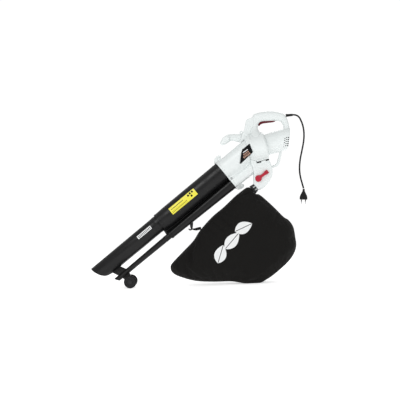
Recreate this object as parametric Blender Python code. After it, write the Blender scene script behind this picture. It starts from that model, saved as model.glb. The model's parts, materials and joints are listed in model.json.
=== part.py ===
"""Corded electric leaf blower, vacuum and mulcher with its debris bag.

Units are metres, +Z is up. The machine stands on two small wheels under the nozzle and on
the base of its bag. +X runs along the machine towards the power cord, and the mid plane is
Y = 0. The operator faces -X, so the left side is -Y.

Most of the machine follows one of two inclined lines in the mid plane:
the tube line, from the nozzle tip up to the fan, and the motor line, along the motor shaft.
Points on the tube line's frame are (u, v): u up along the tube, v square to it, downwards.
Points on the motor line's frame are (a, n): a back along the shaft, n square to it, upwards.
"""

import math

import bmesh
import bpy
from mathutils import Vector

# ---------------------------------------------------------------- driving dimensions
GAP = 0.0003                     # clearance left between touching pieces
WALL = 0.003                     # moulded wall of the housing and the white ducts
TUBE_WALL = 0.0025               # wall of the black tubes

TUBE_ANGLE = math.radians(37.4)  # slope of the tube line
TUBE_TIP = Vector((-0.4882, 0.0, 0.0971))
LOWER_RADIUS = 0.0405            # lower suction tube
UPPER_RADIUS = 0.050             # upper suction channel and white duct
LOWER_AXIS_V = 0.0405
UPPER_AXIS_V = 0.0446
COLLAR_U = 0.390                 # where the lower tubes enter the upper tube
JOINT_U = 0.775                  # where the upper tube meets the white duct
BLOW_AXIS_V = 0.120              # middle of the blow channel

MOTOR_ANGLE = math.radians(13.0)
MOTOR_CENTRE = Vector((0.3725, 0.0, 0.653))
BARREL_RADIUS = 0.051
CASING_HEIGHT = 0.068            # half height of the fan casing across the shaft
CASING_WIDTH = 0.082             # half width of the fan casing
CASING_FRONT = -0.076            # along the shaft
CASING_BACK = -0.008
COVER_FRONT = -0.100
EYE_RADIUS = 0.046
IMPELLER_RADIUS = 0.060
SHAFT_RADIUS = 0.005
REAR_A = 0.106                   # rear face of the motor barrel on the shaft line
REAR_SLOPE = 0.39                # how far that face leans back with height

HANDLE_HALF_WIDTH = 0.019
TRIGGER_PIVOT = Vector((0.408, 0.0, 0.768))
TRIGGER_HALF_WIDTH = 0.0075

ADAPTER_HALF_WIDTH = 0.036
OUTLET_N = -0.069                # foot of the fan casing's outlet
GASKET_THICKNESS = 0.005
SELECTOR_PIVOT = Vector((0.3215, 0.0, 0.4919))
SELECTOR_ANGLE = math.radians(35.6)
SELECTOR_LENGTH = 0.057
FLAP_ANGLE = math.radians(101.0)
FLAP_LENGTH = 0.058
SELECTOR_SHAFT_RADIUS = 0.005

WHEEL_CENTRE = Vector((-0.3023, 0.0, 0.030))
WHEEL_RADIUS = 0.030
WHEEL_INNER_Y = 0.037
WHEEL_OUTER_Y = 0.053
AXLE_RADIUS = 0.004
PIN_RADIUS = 0.0019              # trigger and latch pins
PIN_HOLE_RADIUS = PIN_RADIUS + GAP

BAG_HALF_THICKNESS = 0.085
CORD_DIAMETER = 0.008

# ---------------------------------------------------------------- frames of reference
TUBE_DIR = Vector((math.cos(TUBE_ANGLE), 0.0, math.sin(TUBE_ANGLE)))
TUBE_DOWN = Vector((math.sin(TUBE_ANGLE), 0.0, -math.cos(TUBE_ANGLE)))
MOTOR_DIR = Vector((math.cos(MOTOR_ANGLE), 0.0, math.sin(MOTOR_ANGLE)))
MOTOR_UP = Vector((-math.sin(MOTOR_ANGLE), 0.0, math.cos(MOTOR_ANGLE)))
ACROSS = Vector((0.0, 1.0, 0.0))


def on_tube(u, v, y=0.0):
    """The point at (u, v) in the tube line's frame."""
    return TUBE_TIP + TUBE_DIR * u + TUBE_DOWN * v + ACROSS * y


def on_motor(a, n, y=0.0):
    """The point at (a, n) in the motor line's frame."""
    return MOTOR_CENTRE + MOTOR_DIR * a + MOTOR_UP * n + ACROSS * y


def in_plane(x, z, y=0.0):
    return Vector((x, y, z))


# ---------------------------------------------------------------- materials
def make_material(name, colour, roughness, metallic=0.0):
    material = bpy.data.materials.new(name)
    material.use_nodes = True
    shader = material.node_tree.nodes["Principled BSDF"]
    shader.inputs["Base Color"].default_value = (*colour, 1.0)
    shader.inputs["Roughness"].default_value = roughness
    shader.inputs["Metallic"].default_value = metallic
    material.diffuse_color = (*colour, 1.0)
    return material


PALETTE = {
    "white_plastic": ((0.78, 0.81, 0.80), 0.38, 0.0),
    "black_plastic": ((0.020, 0.020, 0.022), 0.35, 0.0),
    "red_plastic": ((0.62, 0.02, 0.05), 0.32, 0.0),
    "black_rubber": ((0.015, 0.015, 0.016), 0.60, 0.0),
    "bag_cloth": ((0.014, 0.012, 0.011), 0.90, 0.0),
    "steel": ((0.55, 0.55, 0.56), 0.35, 1.0),
    "brass": ((0.75, 0.56, 0.25), 0.35, 1.0),
    "laminated_iron": ((0.30, 0.30, 0.32), 0.50, 1.0),
    "badge_black": ((0.02, 0.03, 0.03), 0.25, 0.0),
    "label_yellow": ((0.85, 0.75, 0.02), 0.40, 0.0),
    "label_white": ((0.85, 0.85, 0.85), 0.40, 0.0),
}


# ---------------------------------------------------------------- mesh helpers
def finish(name, bm, look, smooth_angle=35.0):
    """Turn a bmesh into a named object with its own material."""
    bmesh.ops.recalc_face_normals(bm, faces=bm.faces)
    mesh = bpy.data.meshes.new(name)
    bm.to_mesh(mesh)
    bm.free()
    mesh.shade_smooth()
    mesh.set_sharp_from_angle(angle=math.radians(smooth_angle))
    body = bpy.data.objects.new(name, mesh)
    bpy.context.scene.collection.objects.link(body)
    if look is None:
        body.hide_render = True
        body.display_type = "WIRE"
    else:
        colour, roughness, metallic = PALETTE[look]
        mesh.materials.append(make_material(name + "_" + look, colour, roughness, metallic))
    return body


def loft(name, rings, look, closed=False):
    """Skin a list of rings. An open loft gets end caps, a closed one joins last to first."""
    bm = bmesh.new()
    skins = [[bm.verts.new(point) for point in ring] for ring in rings]
    pairs = list(zip(skins, skins[1:]))
    if closed:
        pairs.append((skins[-1], skins[0]))
    for low, high in pairs:
        count = len(low)
        for i in range(count):
            j = (i + 1) % count
            bm.faces.new((low[i], low[j], high[j], high[i]))
    if not closed:
        bm.faces.new(skins[0])
        bm.faces.new(skins[-1])
    return finish(name, bm, look)


def oval(centre, side, half_side, half_across, power=2.0, count=32):
    """A superellipse ring in the plane of `side` and Y."""
    ring = []
    for i in range(count):
        angle = 2.0 * math.pi * i / count
        c = math.cos(angle)
        s = math.sin(angle)
        along = math.copysign(abs(c) ** (2.0 / power), c) * half_side
        across = math.copysign(abs(s) ** (2.0 / power), s) * half_across
        ring.append(centre + side * along + ACROSS * across)
    return ring


def sleeve(name, start, end, outer, inner, look, count=24):
    """A round tube on the shaft line."""
    profile = [(start, outer), (end, outer), (end, inner), (start, inner)]
    rings = [oval(on_motor(a, 0.0), MOTOR_UP, r, r, 2.0, count) for a, r in profile]
    return loft(name, rings, look, closed=True)


def rod(name, centre, radius, y_low, y_high, look, hole=0.0, count=20):
    """A round bar or bush across the machine, along Y."""
    up = Vector((0.0, 0.0, 1.0))
    right = Vector((1.0, 0.0, 0.0))

    def circle(r, y):
        turn = 2.0 * math.pi / count
        spots = [(math.cos(turn * i) * r, math.sin(turn * i) * r) for i in range(count)]
        return [centre + right * x + up * z + ACROSS * y for x, z in spots]

    if hole:
        rings = [circle(radius, y_low), circle(radius, y_high)]
        rings += [circle(hole, y_high), circle(hole, y_low)]
        return loft(name, rings, look, closed=True)
    return loft(name, [circle(radius, y_low), circle(radius, y_high)], look)


def prism(name, outline, y_low, y_high, look, bevel=0.0, segments=2):
    """An outline in the mid plane, given thickness along Y."""
    low = [point + ACROSS * y_low for point in outline]
    high = [point + ACROSS * y_high for point in outline]
    body = loft(name, [low, high], look)
    if bevel:
        soften(body, bevel, segments)
    return body


def bar(name, start, end, radius, look, count=16, hole=0.0):
    """A round bar between two points of any direction."""
    axis = (end - start).normalized()
    side = axis.cross(ACROSS)
    if side.length < 0.1:
        side = axis.cross(Vector((1.0, 0.0, 0.0)))
    side.normalize()
    other = axis.cross(side)

    def circle(centre, r):
        turn = 2.0 * math.pi / count
        return [centre + side * (math.cos(turn * i) * r) + other * (math.sin(turn * i) * r)
                for i in range(count)]

    if hole:
        rings = [circle(start, radius), circle(end, radius), circle(end, hole), circle(start, hole)]
        return loft(name, rings, look, closed=True)
    return loft(name, [circle(start, radius), circle(end, radius)], look)


def soften(body, width, segments=2):
    bevel = body.modifiers.new("rounded_edges", "BEVEL")
    bevel.width = width
    bevel.segments = segments
    bevel.limit_method = "ANGLE"
    bevel.angle_limit = math.radians(40.0)


def combine(body, tool, operation):
    step = body.modifiers.new(operation.lower() + "_" + tool.name, "BOOLEAN")
    step.operation = operation
    step.solver = "EXACT"
    step.object = tool


def join(body, *tools):
    for tool in tools:
        combine(body, tool, "UNION")


def cut(body, *tools):
    for tool in tools:
        combine(body, tool, "DIFFERENCE")


def block(name, place, low, high, look):
    """A box in a frame: low and high are (first, second, y) corners."""
    corners = [(low[0], low[1]), (high[0], low[1]), (high[0], high[1]), (low[0], high[1])]
    return prism(name, [place(p, q) for p, q in corners], low[2], high[2], look)


def smooth_path(points, steps):
    """Points read from a Catmull-Rom curve through the given ones."""
    path = []
    last = len(points) - 1
    for i in range(last):
        before = points[max(i - 1, 0)]
        here = points[i]
        there = points[i + 1]
        after = points[min(i + 2, last)]
        for k in range(steps):
            t = k / steps
            path.append(0.5 * (2.0 * here + (there - before) * t
                               + (2.0 * before - 5.0 * here + 4.0 * there - after) * t ** 2
                               + (3.0 * here - before - 3.0 * there + after) * t ** 3))
    path.append(points[-1].copy())
    return path


def ribbon(name, edges, half_width, look, power=2.6, count=16, shrink=0.0):
    """A solid between two edge lines in the mid plane, with a rounded section.

    Each entry of `edges` is (outer point, inner point), both (x, z)."""
    rings = []
    for outer, inner in edges:
        top = in_plane(*outer)
        low = in_plane(*inner)
        side = (top - low).normalized()
        half = (top - low).length / 2.0 - shrink
        rings.append(oval((top + low) / 2.0, side, half, half_width - shrink, power, count))
    return loft(name, rings, look)


# ---------------------------------------------------------------- tubes
def upper_half_sizes(u):
    """Half heights and middles of the two channels of the upper tube at u."""
    flare = min((u - COLLAR_U) / 0.060, 1.0)
    suction = (0.0455 + 0.0045 * flare, 0.0415 + 0.0031 * flare)
    slope = (u - COLLAR_U) / (JOINT_U - COLLAR_U)
    blow = (0.0185 + 0.0065 * slope, 0.1185 + 0.0015 * slope, 0.027 + 0.007 * slope)
    return suction, blow


def channel(name, stations, look, shrink=0.0, power=2.0, count=28):
    """A straight solid channel on the tube line: stations are (u, v, half height, half width)."""
    rings = [oval(on_tube(u, v), TUBE_DOWN, high - shrink, wide - shrink, power, count)
             for u, v, high, wide in stations]
    return loft(name, rings, look)


def build_lower_suction_tube():
    tube = channel("lower_suction_tube",
                   [(-0.002, LOWER_AXIS_V, LOWER_RADIUS, LOWER_RADIUS),
                    (COLLAR_U + 0.040, LOWER_AXIS_V, LOWER_RADIUS, LOWER_RADIUS)],
                   "black_plastic")
    bore = channel("lower_suction_bore",
                   [(-0.050, LOWER_AXIS_V, LOWER_RADIUS, LOWER_RADIUS),
                    (COLLAR_U + 0.080, LOWER_AXIS_V, LOWER_RADIUS, LOWER_RADIUS)],
                   None, TUBE_WALL)
    mouth_curve = [(0.0, -0.001), (0.0035, 0.018), (0.0106, 0.0359), (0.0215, 0.0565),
                   (0.036, 0.0715), (0.052, 0.0775), (0.075, 0.082)]
    around = [(0.075, 0.100), (-0.060, 0.100), (-0.060, -0.020), (-0.001, -0.020)]
    mouth = prism("mouth_cut", [on_tube(u, v) for u, v in mouth_curve + around],
                  -0.060, 0.060, None)
    cut(tube, bore, mouth)


def build_lower_blow_tube():
    shape = [(0.040, 0.1188, 0.0118, 0.020), (COLLAR_U + 0.025, 0.1183, 0.01475, 0.023)]
    tube = channel("lower_blow_tube", shape, "black_plastic", power=2.6)
    inner = [(0.020, 0.1188, 0.0118, 0.020), (COLLAR_U + 0.060, 0.1183, 0.01475, 0.023)]
    bore = channel("lower_blow_bore", inner, None, TUBE_WALL, 2.6)
    tip = prism("blow_tip_cut", [on_tube(0.0, 0.100), on_tube(0.050, 0.100),
                                 on_tube(0.073, 0.136), on_tube(0.0, 0.136)],
                -0.040, 0.040, None)
    cut(tube, bore, tip)


def build_upper_tube():
    marks = (COLLAR_U, COLLAR_U + 0.060, JOINT_U - GAP)
    suction = []
    blow = []
    for u in marks:
        (r, v), (high, blow_v, wide) = upper_half_sizes(u)
        suction.append((u, v, r, r))
        blow.append((u, blow_v, high, wide))
    tube = channel("upper_tube", suction, "black_plastic")
    lower = channel("upper_blow_channel", blow, None, 0.0, 2.8)
    web = block("upper_web", on_tube, (COLLAR_U + 0.002, 0.070, -0.006),
                (JOINT_U - 0.001, 0.115, 0.006), None)
    catch_top = block("catch_top", on_tube, (JOINT_U - 0.0035, -0.0095, -0.007),
                      (JOINT_U - GAP, 0.0, 0.007), None)
    catch_low = block("catch_low", on_tube, (JOINT_U - 0.0035, 0.140, -0.007),
                      (JOINT_U - GAP, 0.1495, 0.007), None)
    join(tube, lower, web, catch_top, catch_low)

    def stretched(stations):
        first = stations[0]
        last = stations[-1]
        return [(first[0] - 0.020, *first[1:])] + stations + [(last[0] + 0.020, *last[1:])]

    cut(tube, channel("upper_suction_bore", stretched(suction), None, TUBE_WALL),
        channel("upper_blow_bore", stretched(blow), None, TUBE_WALL, 2.8))


def build_tube_brackets():
    low = [on_tube(0.068, 0.0815), on_tube(0.115, 0.0815), on_tube(0.127, 0.1058),
           on_tube(0.079, 0.1062)]
    prism("tube_bracket_lower", low, -0.009, 0.009, "black_plastic", 0.0015)
    high = [on_tube(0.3810, 0.0815), on_tube(COLLAR_U - 0.0005, 0.0815),
            on_tube(COLLAR_U - 0.0005, 0.1028), on_tube(0.3785, 0.1030)]
    prism("tube_bracket_upper", high, -0.011, 0.011, "black_plastic", 0.0015)


# ---------------------------------------------------------------- white duct and fan casing
DUCT_STATIONS = [(JOINT_U, UPPER_AXIS_V, UPPER_RADIUS, UPPER_RADIUS),
                 (0.850, UPPER_AXIS_V, UPPER_RADIUS, UPPER_RADIUS + 0.001),
                 (0.900, UPPER_AXIS_V, UPPER_RADIUS, 0.057),
                 (0.990, UPPER_AXIS_V, UPPER_RADIUS, 0.071)]
COVER_PROFILE = [(COVER_FRONT, 0.051, 0.063), (-0.097, 0.057, 0.068), (-0.084, 0.0665, 0.079),
                 (CASING_FRONT, CASING_HEIGHT, CASING_WIDTH)]


DUCT_SCREW = (0.195, 0.498)
LATCH_BASES = ((-1.0, -0.0054), (1.0, 0.145))  # side of the tube line, and v of its surface


def latch_pivot(side, base):
    return on_tube(0.800, base + side * 0.0086)


def build_inlet_duct():
    duct = channel("inlet_duct", DUCT_STATIONS, "white_plastic")
    lower_stations = [(JOINT_U, BLOW_AXIS_V, 0.025, 0.034), (0.960, 0.1235, 0.0255, 0.035)]
    lower = channel("duct_blow_channel", lower_stations, None, 0.0, 2.8)
    web = block("duct_web", on_tube, (JOINT_U + 0.0007, 0.060, -0.024), (0.935, 0.1155, 0.0237), None)
    join(duct, lower, web)
    for side, base in LATCH_BASES:
        for hand in (-1.0, 1.0):
            ear_y = sorted((hand * 0.0075, hand * 0.0115))
            lows = sorted((base - side * 0.010, base + side * 0.0125))
            ear = block("latch_ear_%d_%d" % (side, hand), on_tube, (0.793, lows[0], ear_y[0]),
                        (0.807, lows[1], ear_y[1]), None)
            soften(ear, 0.001)
            join(duct, ear)
        hole = rod("latch_hole_%d" % side, latch_pivot(side, base), PIN_HOLE_RADIUS,
                   -0.020, 0.020, None, count=16)
        cut(duct, hole)
    bore = channel("duct_suction_bore", [(JOINT_U - 0.02, UPPER_AXIS_V, UPPER_RADIUS, UPPER_RADIUS),
                                         (1.050, UPPER_AXIS_V, UPPER_RADIUS, UPPER_RADIUS)],
                   None, 0.004)
    blow_bore = channel("duct_blow_bore", [(JOINT_U - 0.02, BLOW_AXIS_V, 0.025, 0.034),
                                           (0.985, 0.1240, 0.021, 0.034)],
                        None, WALL, 2.8)
    fan_side = block("fan_side_cut", on_motor, (COVER_FRONT - GAP, -0.150, -0.120),
                     (0.150, 0.120, 0.120), None)
    adapter_side = prism("adapter_side_cut",
                         [in_plane(0.3000, 0.440), in_plane(0.400, 0.440),
                          in_plane(0.400, 0.600), in_plane(0.3000, 0.600)],
                         -0.060, 0.060, None)
    screw_hole = bar("duct_screw_hole", in_plane(*DUCT_SCREW, -0.060),
                     in_plane(*DUCT_SCREW, -0.0255), 0.0036, None)
    cut(duct, bore, blow_bore, fan_side, adapter_side, screw_hole)


def ellipse_rings(profile, inset=0.0, count=30):
    return [oval(on_motor(a, 0.0), MOTOR_UP, high - inset, wide - inset, 2.0, count)
            for a, high, wide in profile]


def build_fan_cover():
    outer = ellipse_rings(COVER_PROFILE)
    inner_profile = [(CASING_FRONT, 0.065, 0.079), (-0.084, 0.0632, 0.0757),
                     (-0.094, 0.055, 0.066), (-0.097, EYE_RADIUS, EYE_RADIUS),
                     (COVER_FRONT, EYE_RADIUS, EYE_RADIUS)]
    cover = loft("fan_cover_front", outer + ellipse_rings(inner_profile), "white_plastic",
                 closed=True)
    crest_outline = [(0.2415, 0.6645), (0.2520, 0.7000), (0.2650, 0.7260), (0.2720, 0.7550),
                     (0.2755, 0.7700), (0.2800, 0.7755), (0.3020, 0.7825), (0.3030, 0.7520),
                     (0.2955, 0.7225), (0.2885, 0.7050), (0.2835, 0.7042), (0.2795, 0.6995),
                     (0.2715, 0.6910), (0.2655, 0.6812)]
    crest = prism("crest", [in_plane(x, z) for x, z in crest_outline], -0.021, 0.021, None,
                  0.005, 2)
    join(cover, crest)


def build_fan_casing():
    outer = [(CASING_FRONT + GAP, CASING_HEIGHT, CASING_WIDTH),
             (-0.022, CASING_HEIGHT, CASING_WIDTH), (-0.0135, 0.0655, 0.0795),
             (CASING_BACK, 0.058, 0.072), (CASING_BACK, 0.0143, 0.0143),
             (-0.0115, 0.0143, 0.0143), (-0.0115, 0.056, 0.070), (-0.0170, 0.063, 0.077),
             (-0.024, 0.065, 0.079), (CASING_FRONT + GAP, 0.065, 0.079)]
    casing = loft("fan_casing", ellipse_rings(outer), "white_plastic", closed=True)
    flange = block("outlet_flange", on_motor, (-0.072, OUTLET_N, -0.034),
                   (-0.012, -0.0605, 0.034), None)
    soften(flange, 0.003)
    passage = block("outlet_passage", on_motor, (-0.066, -0.080, -0.028),
                    (-0.018, -0.0400, 0.028), None)
    join(casing, flange)
    cut(casing, passage)
    ring = block("outlet_gasket", on_motor, (-0.071, OUTLET_N - GASKET_THICKNESS, -0.033),
                 (-0.013, OUTLET_N - GAP, 0.033), "black_rubber")
    cut(ring, passage)


# ---------------------------------------------------------------- motor housing and handle
HANDLE_EDGES = [((0.2900, 0.690), (0.3340, 0.690)), ((0.2960, 0.720), (0.3312, 0.716)),
                ((0.3040, 0.750), (0.3308, 0.740)), ((0.3062, 0.778), (0.3350, 0.751)),
                ((0.3110, 0.7965), (0.3425, 0.758)), ((0.3330, 0.8045), (0.3530, 0.7615)),
                ((0.3660, 0.8087), (0.3720, 0.762)),
                ((0.4020, 0.8085), (0.4000, 0.762)), ((0.4310, 0.8030), (0.4230, 0.7615)),
                ((0.4550, 0.7930), (0.4380, 0.758)), ((0.4700, 0.7720), (0.4470, 0.747)),
                ((0.4775, 0.7450), (0.4520, 0.735)), ((0.4812, 0.7150), (0.4500, 0.715)),
                ((0.4790, 0.6850), (0.4420, 0.690))]


def barrel_rings(radius, front, inset):
    """Rings of the motor barrel, with its rear face leaning back."""
    rings = [oval(on_motor(front, 0.0), MOTOR_UP, radius, radius, 2.0, 30)]
    for back_off, smaller in ((0.010 + inset, 0.0), (0.003 + inset, 0.002), (inset, 0.008)):
        ring = oval(on_motor(0.0, 0.0), MOTOR_UP, radius - smaller, radius - smaller, 2.0, 30)
        moved = []
        for point in ring:
            rise = (point - MOTOR_CENTRE).dot(MOTOR_UP)
            moved.append(point + MOTOR_DIR * (REAR_A + REAR_SLOPE * rise - back_off))
        rings.append(moved)
    return rings


def vent_slots():
    """Two upright rows of cooling slots near the rear edge of the barrel, right through."""
    slots = []
    for row, (x, count) in enumerate(((0.4515, 5), (0.4640, 6))):
        for i in range(count):
            z = 0.6405 + i * 0.0082 + row * 0.002
            low = in_plane(x - 0.0030 + i * 0.0010, z - 0.0022)
            high = in_plane(x + 0.0030 + i * 0.0010, z + 0.0022)
            corners = [low, in_plane(high.x, low.z + 0.0008), high,
                       in_plane(low.x, high.z - 0.0008)]
            slots.append(prism("vent_%d_%d" % (row, i), corners, -0.070, 0.070, None))
    return slots


CORD_EXIT = in_plane(0.4680, 0.7862)
CORD_EXIT_DIR = Vector((0.9985, 0.0, 0.0548)).normalized()
BOOT_LENGTH = 0.032


def build_housing():
    handle = ribbon("handle_loop", HANDLE_EDGES, HANDLE_HALF_WIDTH, None)
    handle_hollow = ribbon("handle_hollow", HANDLE_EDGES, HANDLE_HALF_WIDTH, None, shrink=WALL)
    barrel_hollow = loft("barrel_hollow", barrel_rings(BARREL_RADIUS - WALL, -0.030, WALL), None)
    casing_space = loft("casing_space", ellipse_rings(
        [(-0.140, 0.0683, 0.0823), (-0.0077, 0.0683, 0.0823)]), None)
    trigger_slot = prism("trigger_slot", [in_plane(x, z) for x, z in
                                          ((0.3270, 0.738), (0.3560, 0.738), (0.3560, 0.748),
                                           (0.4180, 0.750), (0.4180, 0.770), (0.3270, 0.770))],
                         -TRIGGER_HALF_WIDTH - 0.0006, TRIGGER_HALF_WIDTH + 0.0006, None)
    trigger_hole = rod("trigger_pin_hole", TRIGGER_PIVOT, PIN_HOLE_RADIUS, -0.0165, 0.0165,
                       None, count=16)
    boot_recess = bar("boot_recess", CORD_EXIT - CORD_EXIT_DIR * 0.0030,
                      CORD_EXIT + CORD_EXIT_DIR * 0.030, 0.0079, None, 20)
    boot_hole = bar("boot_hole", CORD_EXIT - CORD_EXIT_DIR * 0.020,
                    CORD_EXIT + CORD_EXIT_DIR * 0.002, 0.0054, None, 20)
    slots = vent_slots()
    for name, low, high in (("housing_left", -GAP / 2.0, 0.200), ("housing_right", -0.200, GAP / 2.0)):
        half = loft(name, barrel_rings(BARREL_RADIUS, -0.0077, 0.0), "white_plastic")
        other_side = prism(name + "_split", [in_plane(0.15, 0.50), in_plane(0.60, 0.50),
                                             in_plane(0.60, 0.90), in_plane(0.15, 0.90)],
                           low, high, None)
        join(half, handle)
        cut(half, barrel_hollow, handle_hollow, casing_space, trigger_slot, trigger_hole,
            boot_recess, boot_hole, *slots, other_side)


def build_trigger():
    outline = [(0.3325, 0.7420), (0.3375, 0.7412), (0.3440, 0.7480), (0.3560, 0.7525),
               (0.3780, 0.7545), (0.4040, 0.7565), (0.4145, 0.7600), (0.4150, 0.7700),
               (0.4120, 0.7730), (0.4040, 0.7730), (0.3980, 0.7665), (0.3500, 0.7660),
               (0.3400, 0.7640), (0.3345, 0.7560)]
    trigger = prism("trigger", [in_plane(x, z) for x, z in outline], -TRIGGER_HALF_WIDTH,
                    TRIGGER_HALF_WIDTH, "red_plastic", 0.0015)
    cut(trigger, rod("trigger_bore", TRIGGER_PIVOT, PIN_HOLE_RADIUS, -0.012, 0.012, None,
                     count=16))
    move_origin(trigger, TRIGGER_PIVOT)
    rod("trigger_pin", TRIGGER_PIVOT, PIN_RADIUS, -0.0155, 0.0155, "steel", count=16)
    block("power_switch", in_plane, (0.360, 0.776, -0.009), (0.388, 0.796, 0.009),
          "black_plastic")
    block("cord_clamp", in_plane, (0.432, 0.776, -0.010), (0.4465, 0.784, 0.010),
          "black_plastic")


def move_origin(body, point):
    """Put the object's origin on its joint without moving its shape."""
    for vertex in body.data.vertices:
        vertex.co -= point
    body.location = point


# ---------------------------------------------------------------- motor and fan
def build_motor():
    sleeve("bearing_front", -0.0112, -0.0015, 0.0140, SHAFT_RADIUS + GAP, "steel", 24)
    sleeve("motor_support_front", 0.018, 0.026, 0.0477, 0.0403, "black_plastic")
    sleeve("motor_support_rear", 0.050, 0.058, 0.0477, 0.0403, "black_plastic")
    sleeve("stator", 0.014, 0.060, 0.0400, 0.0275, "laminated_iron")
    sleeve("armature", 0.014, 0.060, 0.0265, SHAFT_RADIUS + GAP, "laminated_iron", 28)
    sleeve("commutator", 0.0645, 0.0775, 0.0110, SHAFT_RADIUS + GAP, "brass", 24)
    sleeve("bearing_rear", 0.0803, 0.0867, 0.0105, SHAFT_RADIUS + GAP, "steel", 24)
    holder = sleeve("bearing_bracket", 0.0803, 0.0867, 0.0280, 0.0108, "black_plastic")
    for hand in (-1.0, 1.0):
        low, high = sorted((hand * 0.0200, hand * 0.0466))
        join(holder, block("bearing_bracket_arm_%d" % hand, on_motor, (0.0808, -0.007, low),
                           (0.0862, 0.007, high), None))
    for name, low, high in (("brush_holder_left", -0.030, -0.0116),
                            ("brush_holder_right", 0.0116, 0.030)):
        block(name, on_motor, (0.066, -0.005, low), (0.076, 0.005, high), "brass")
    bar("motor_shaft", on_motor(-0.068, 0.0), on_motor(0.0890, 0.0), SHAFT_RADIUS, "steel", 24)
    sleeve("impeller_nut", -0.0665, -0.0605, 0.0095, 0.0062, "steel", 6)
    build_impeller()


def build_impeller():
    """Back plate, hub and eight straight blades, as one moulding."""
    blades = 8
    hub = 0.013
    half_blade = 0.0013
    outline = []
    for i in range(blades):
        middle = 2.0 * math.pi * i / blades
        root = math.asin(half_blade / hub)
        tip = math.asin(half_blade / IMPELLER_RADIUS)
        step = 2.0 * math.pi / blades
        outline += [(hub, middle - root), (IMPELLER_RADIUS, middle - tip),
                    (IMPELLER_RADIUS, middle + tip), (hub, middle + root),
                    (hub, middle + step / 2.0)]
    front = [on_motor(-0.0600, math.cos(t) * r, math.sin(t) * r) for r, t in outline]
    back = [on_motor(-0.0225, math.cos(t) * r, math.sin(t) * r) for r, t in outline]
    wheel = loft("impeller", [front, back], "black_plastic")
    plate = bar("impeller_plate", on_motor(-0.025, 0.0), on_motor(-0.022, 0.0),
                IMPELLER_RADIUS + 0.001, None, 30)
    join(wheel, plate)
    cut(wheel, bar("impeller_bore", on_motor(-0.070, 0.0), on_motor(-0.010, 0.0),
                   SHAFT_RADIUS + GAP, None, 24))


# ---------------------------------------------------------------- bag adapter and selector
def build_adapter():
    top_n = OUTLET_N - GASKET_THICKNESS - GAP
    top_left = on_motor(-0.071, top_n)
    top_right = on_motor(-0.013, top_n)
    # The front edge follows the cut end of the duct and the foot of the fan cover.
    duct_side = [on_motor(a, n) for a, n in ((COVER_FRONT, -0.1124), (COVER_FRONT, -0.0560),
                                             (-0.0905, -0.0655), (-0.0780, -0.0705))]
    outer = [(point.x, point.z) for point in duct_side]
    outer += [(top_left.x, top_left.z), (top_right.x, top_right.z),
             (0.3845, 0.5560), (0.3895, 0.5370), (0.3902, 0.5190), (0.3875, 0.5030),
             (0.3820, 0.4900), (0.3740, 0.4770), (0.3630, 0.4640), (0.3500, 0.4510),
             (0.3370, 0.4420), (0.3195, 0.4365), (0.2975, 0.4652), (0.3003, 0.4800)]
    adapter = prism("bag_adapter", [in_plane(x, z) for x, z in outer], -ADAPTER_HALF_WIDTH,
                    ADAPTER_HALF_WIDTH, "white_plastic", 0.006, 3)
    hollow = [(0.3040, 0.5520), (0.3250, 0.5590), (0.3250, 0.5900), (0.3680, 0.5900),
              (0.3725, 0.5690), (0.3812, 0.5540), (0.3862, 0.5360), (0.3868, 0.5190),
              (0.3843, 0.5040), (0.3790, 0.4915), (0.3712, 0.4790), (0.3605, 0.4662),
              (0.3480, 0.4540), (0.3355, 0.4455), (0.3030, 0.4265), (0.2860, 0.4570),
              (0.3040, 0.4690)]
    inside = prism("adapter_hollow", [in_plane(x, z) for x, z in hollow],
                   -ADAPTER_HALF_WIDTH + WALL, ADAPTER_HALF_WIDTH - WALL, None)
    blow_port = block("adapter_blow_port", in_plane, (0.283, 0.5220, -0.030),
                      (0.310, 0.5500, 0.030), None)
    pivot_hole = rod("selector_hole", SELECTOR_PIVOT, SELECTOR_SHAFT_RADIUS + GAP, -0.060,
                     0.060, None, count=24)
    cut(adapter, inside, blow_port, pivot_hole)


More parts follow.
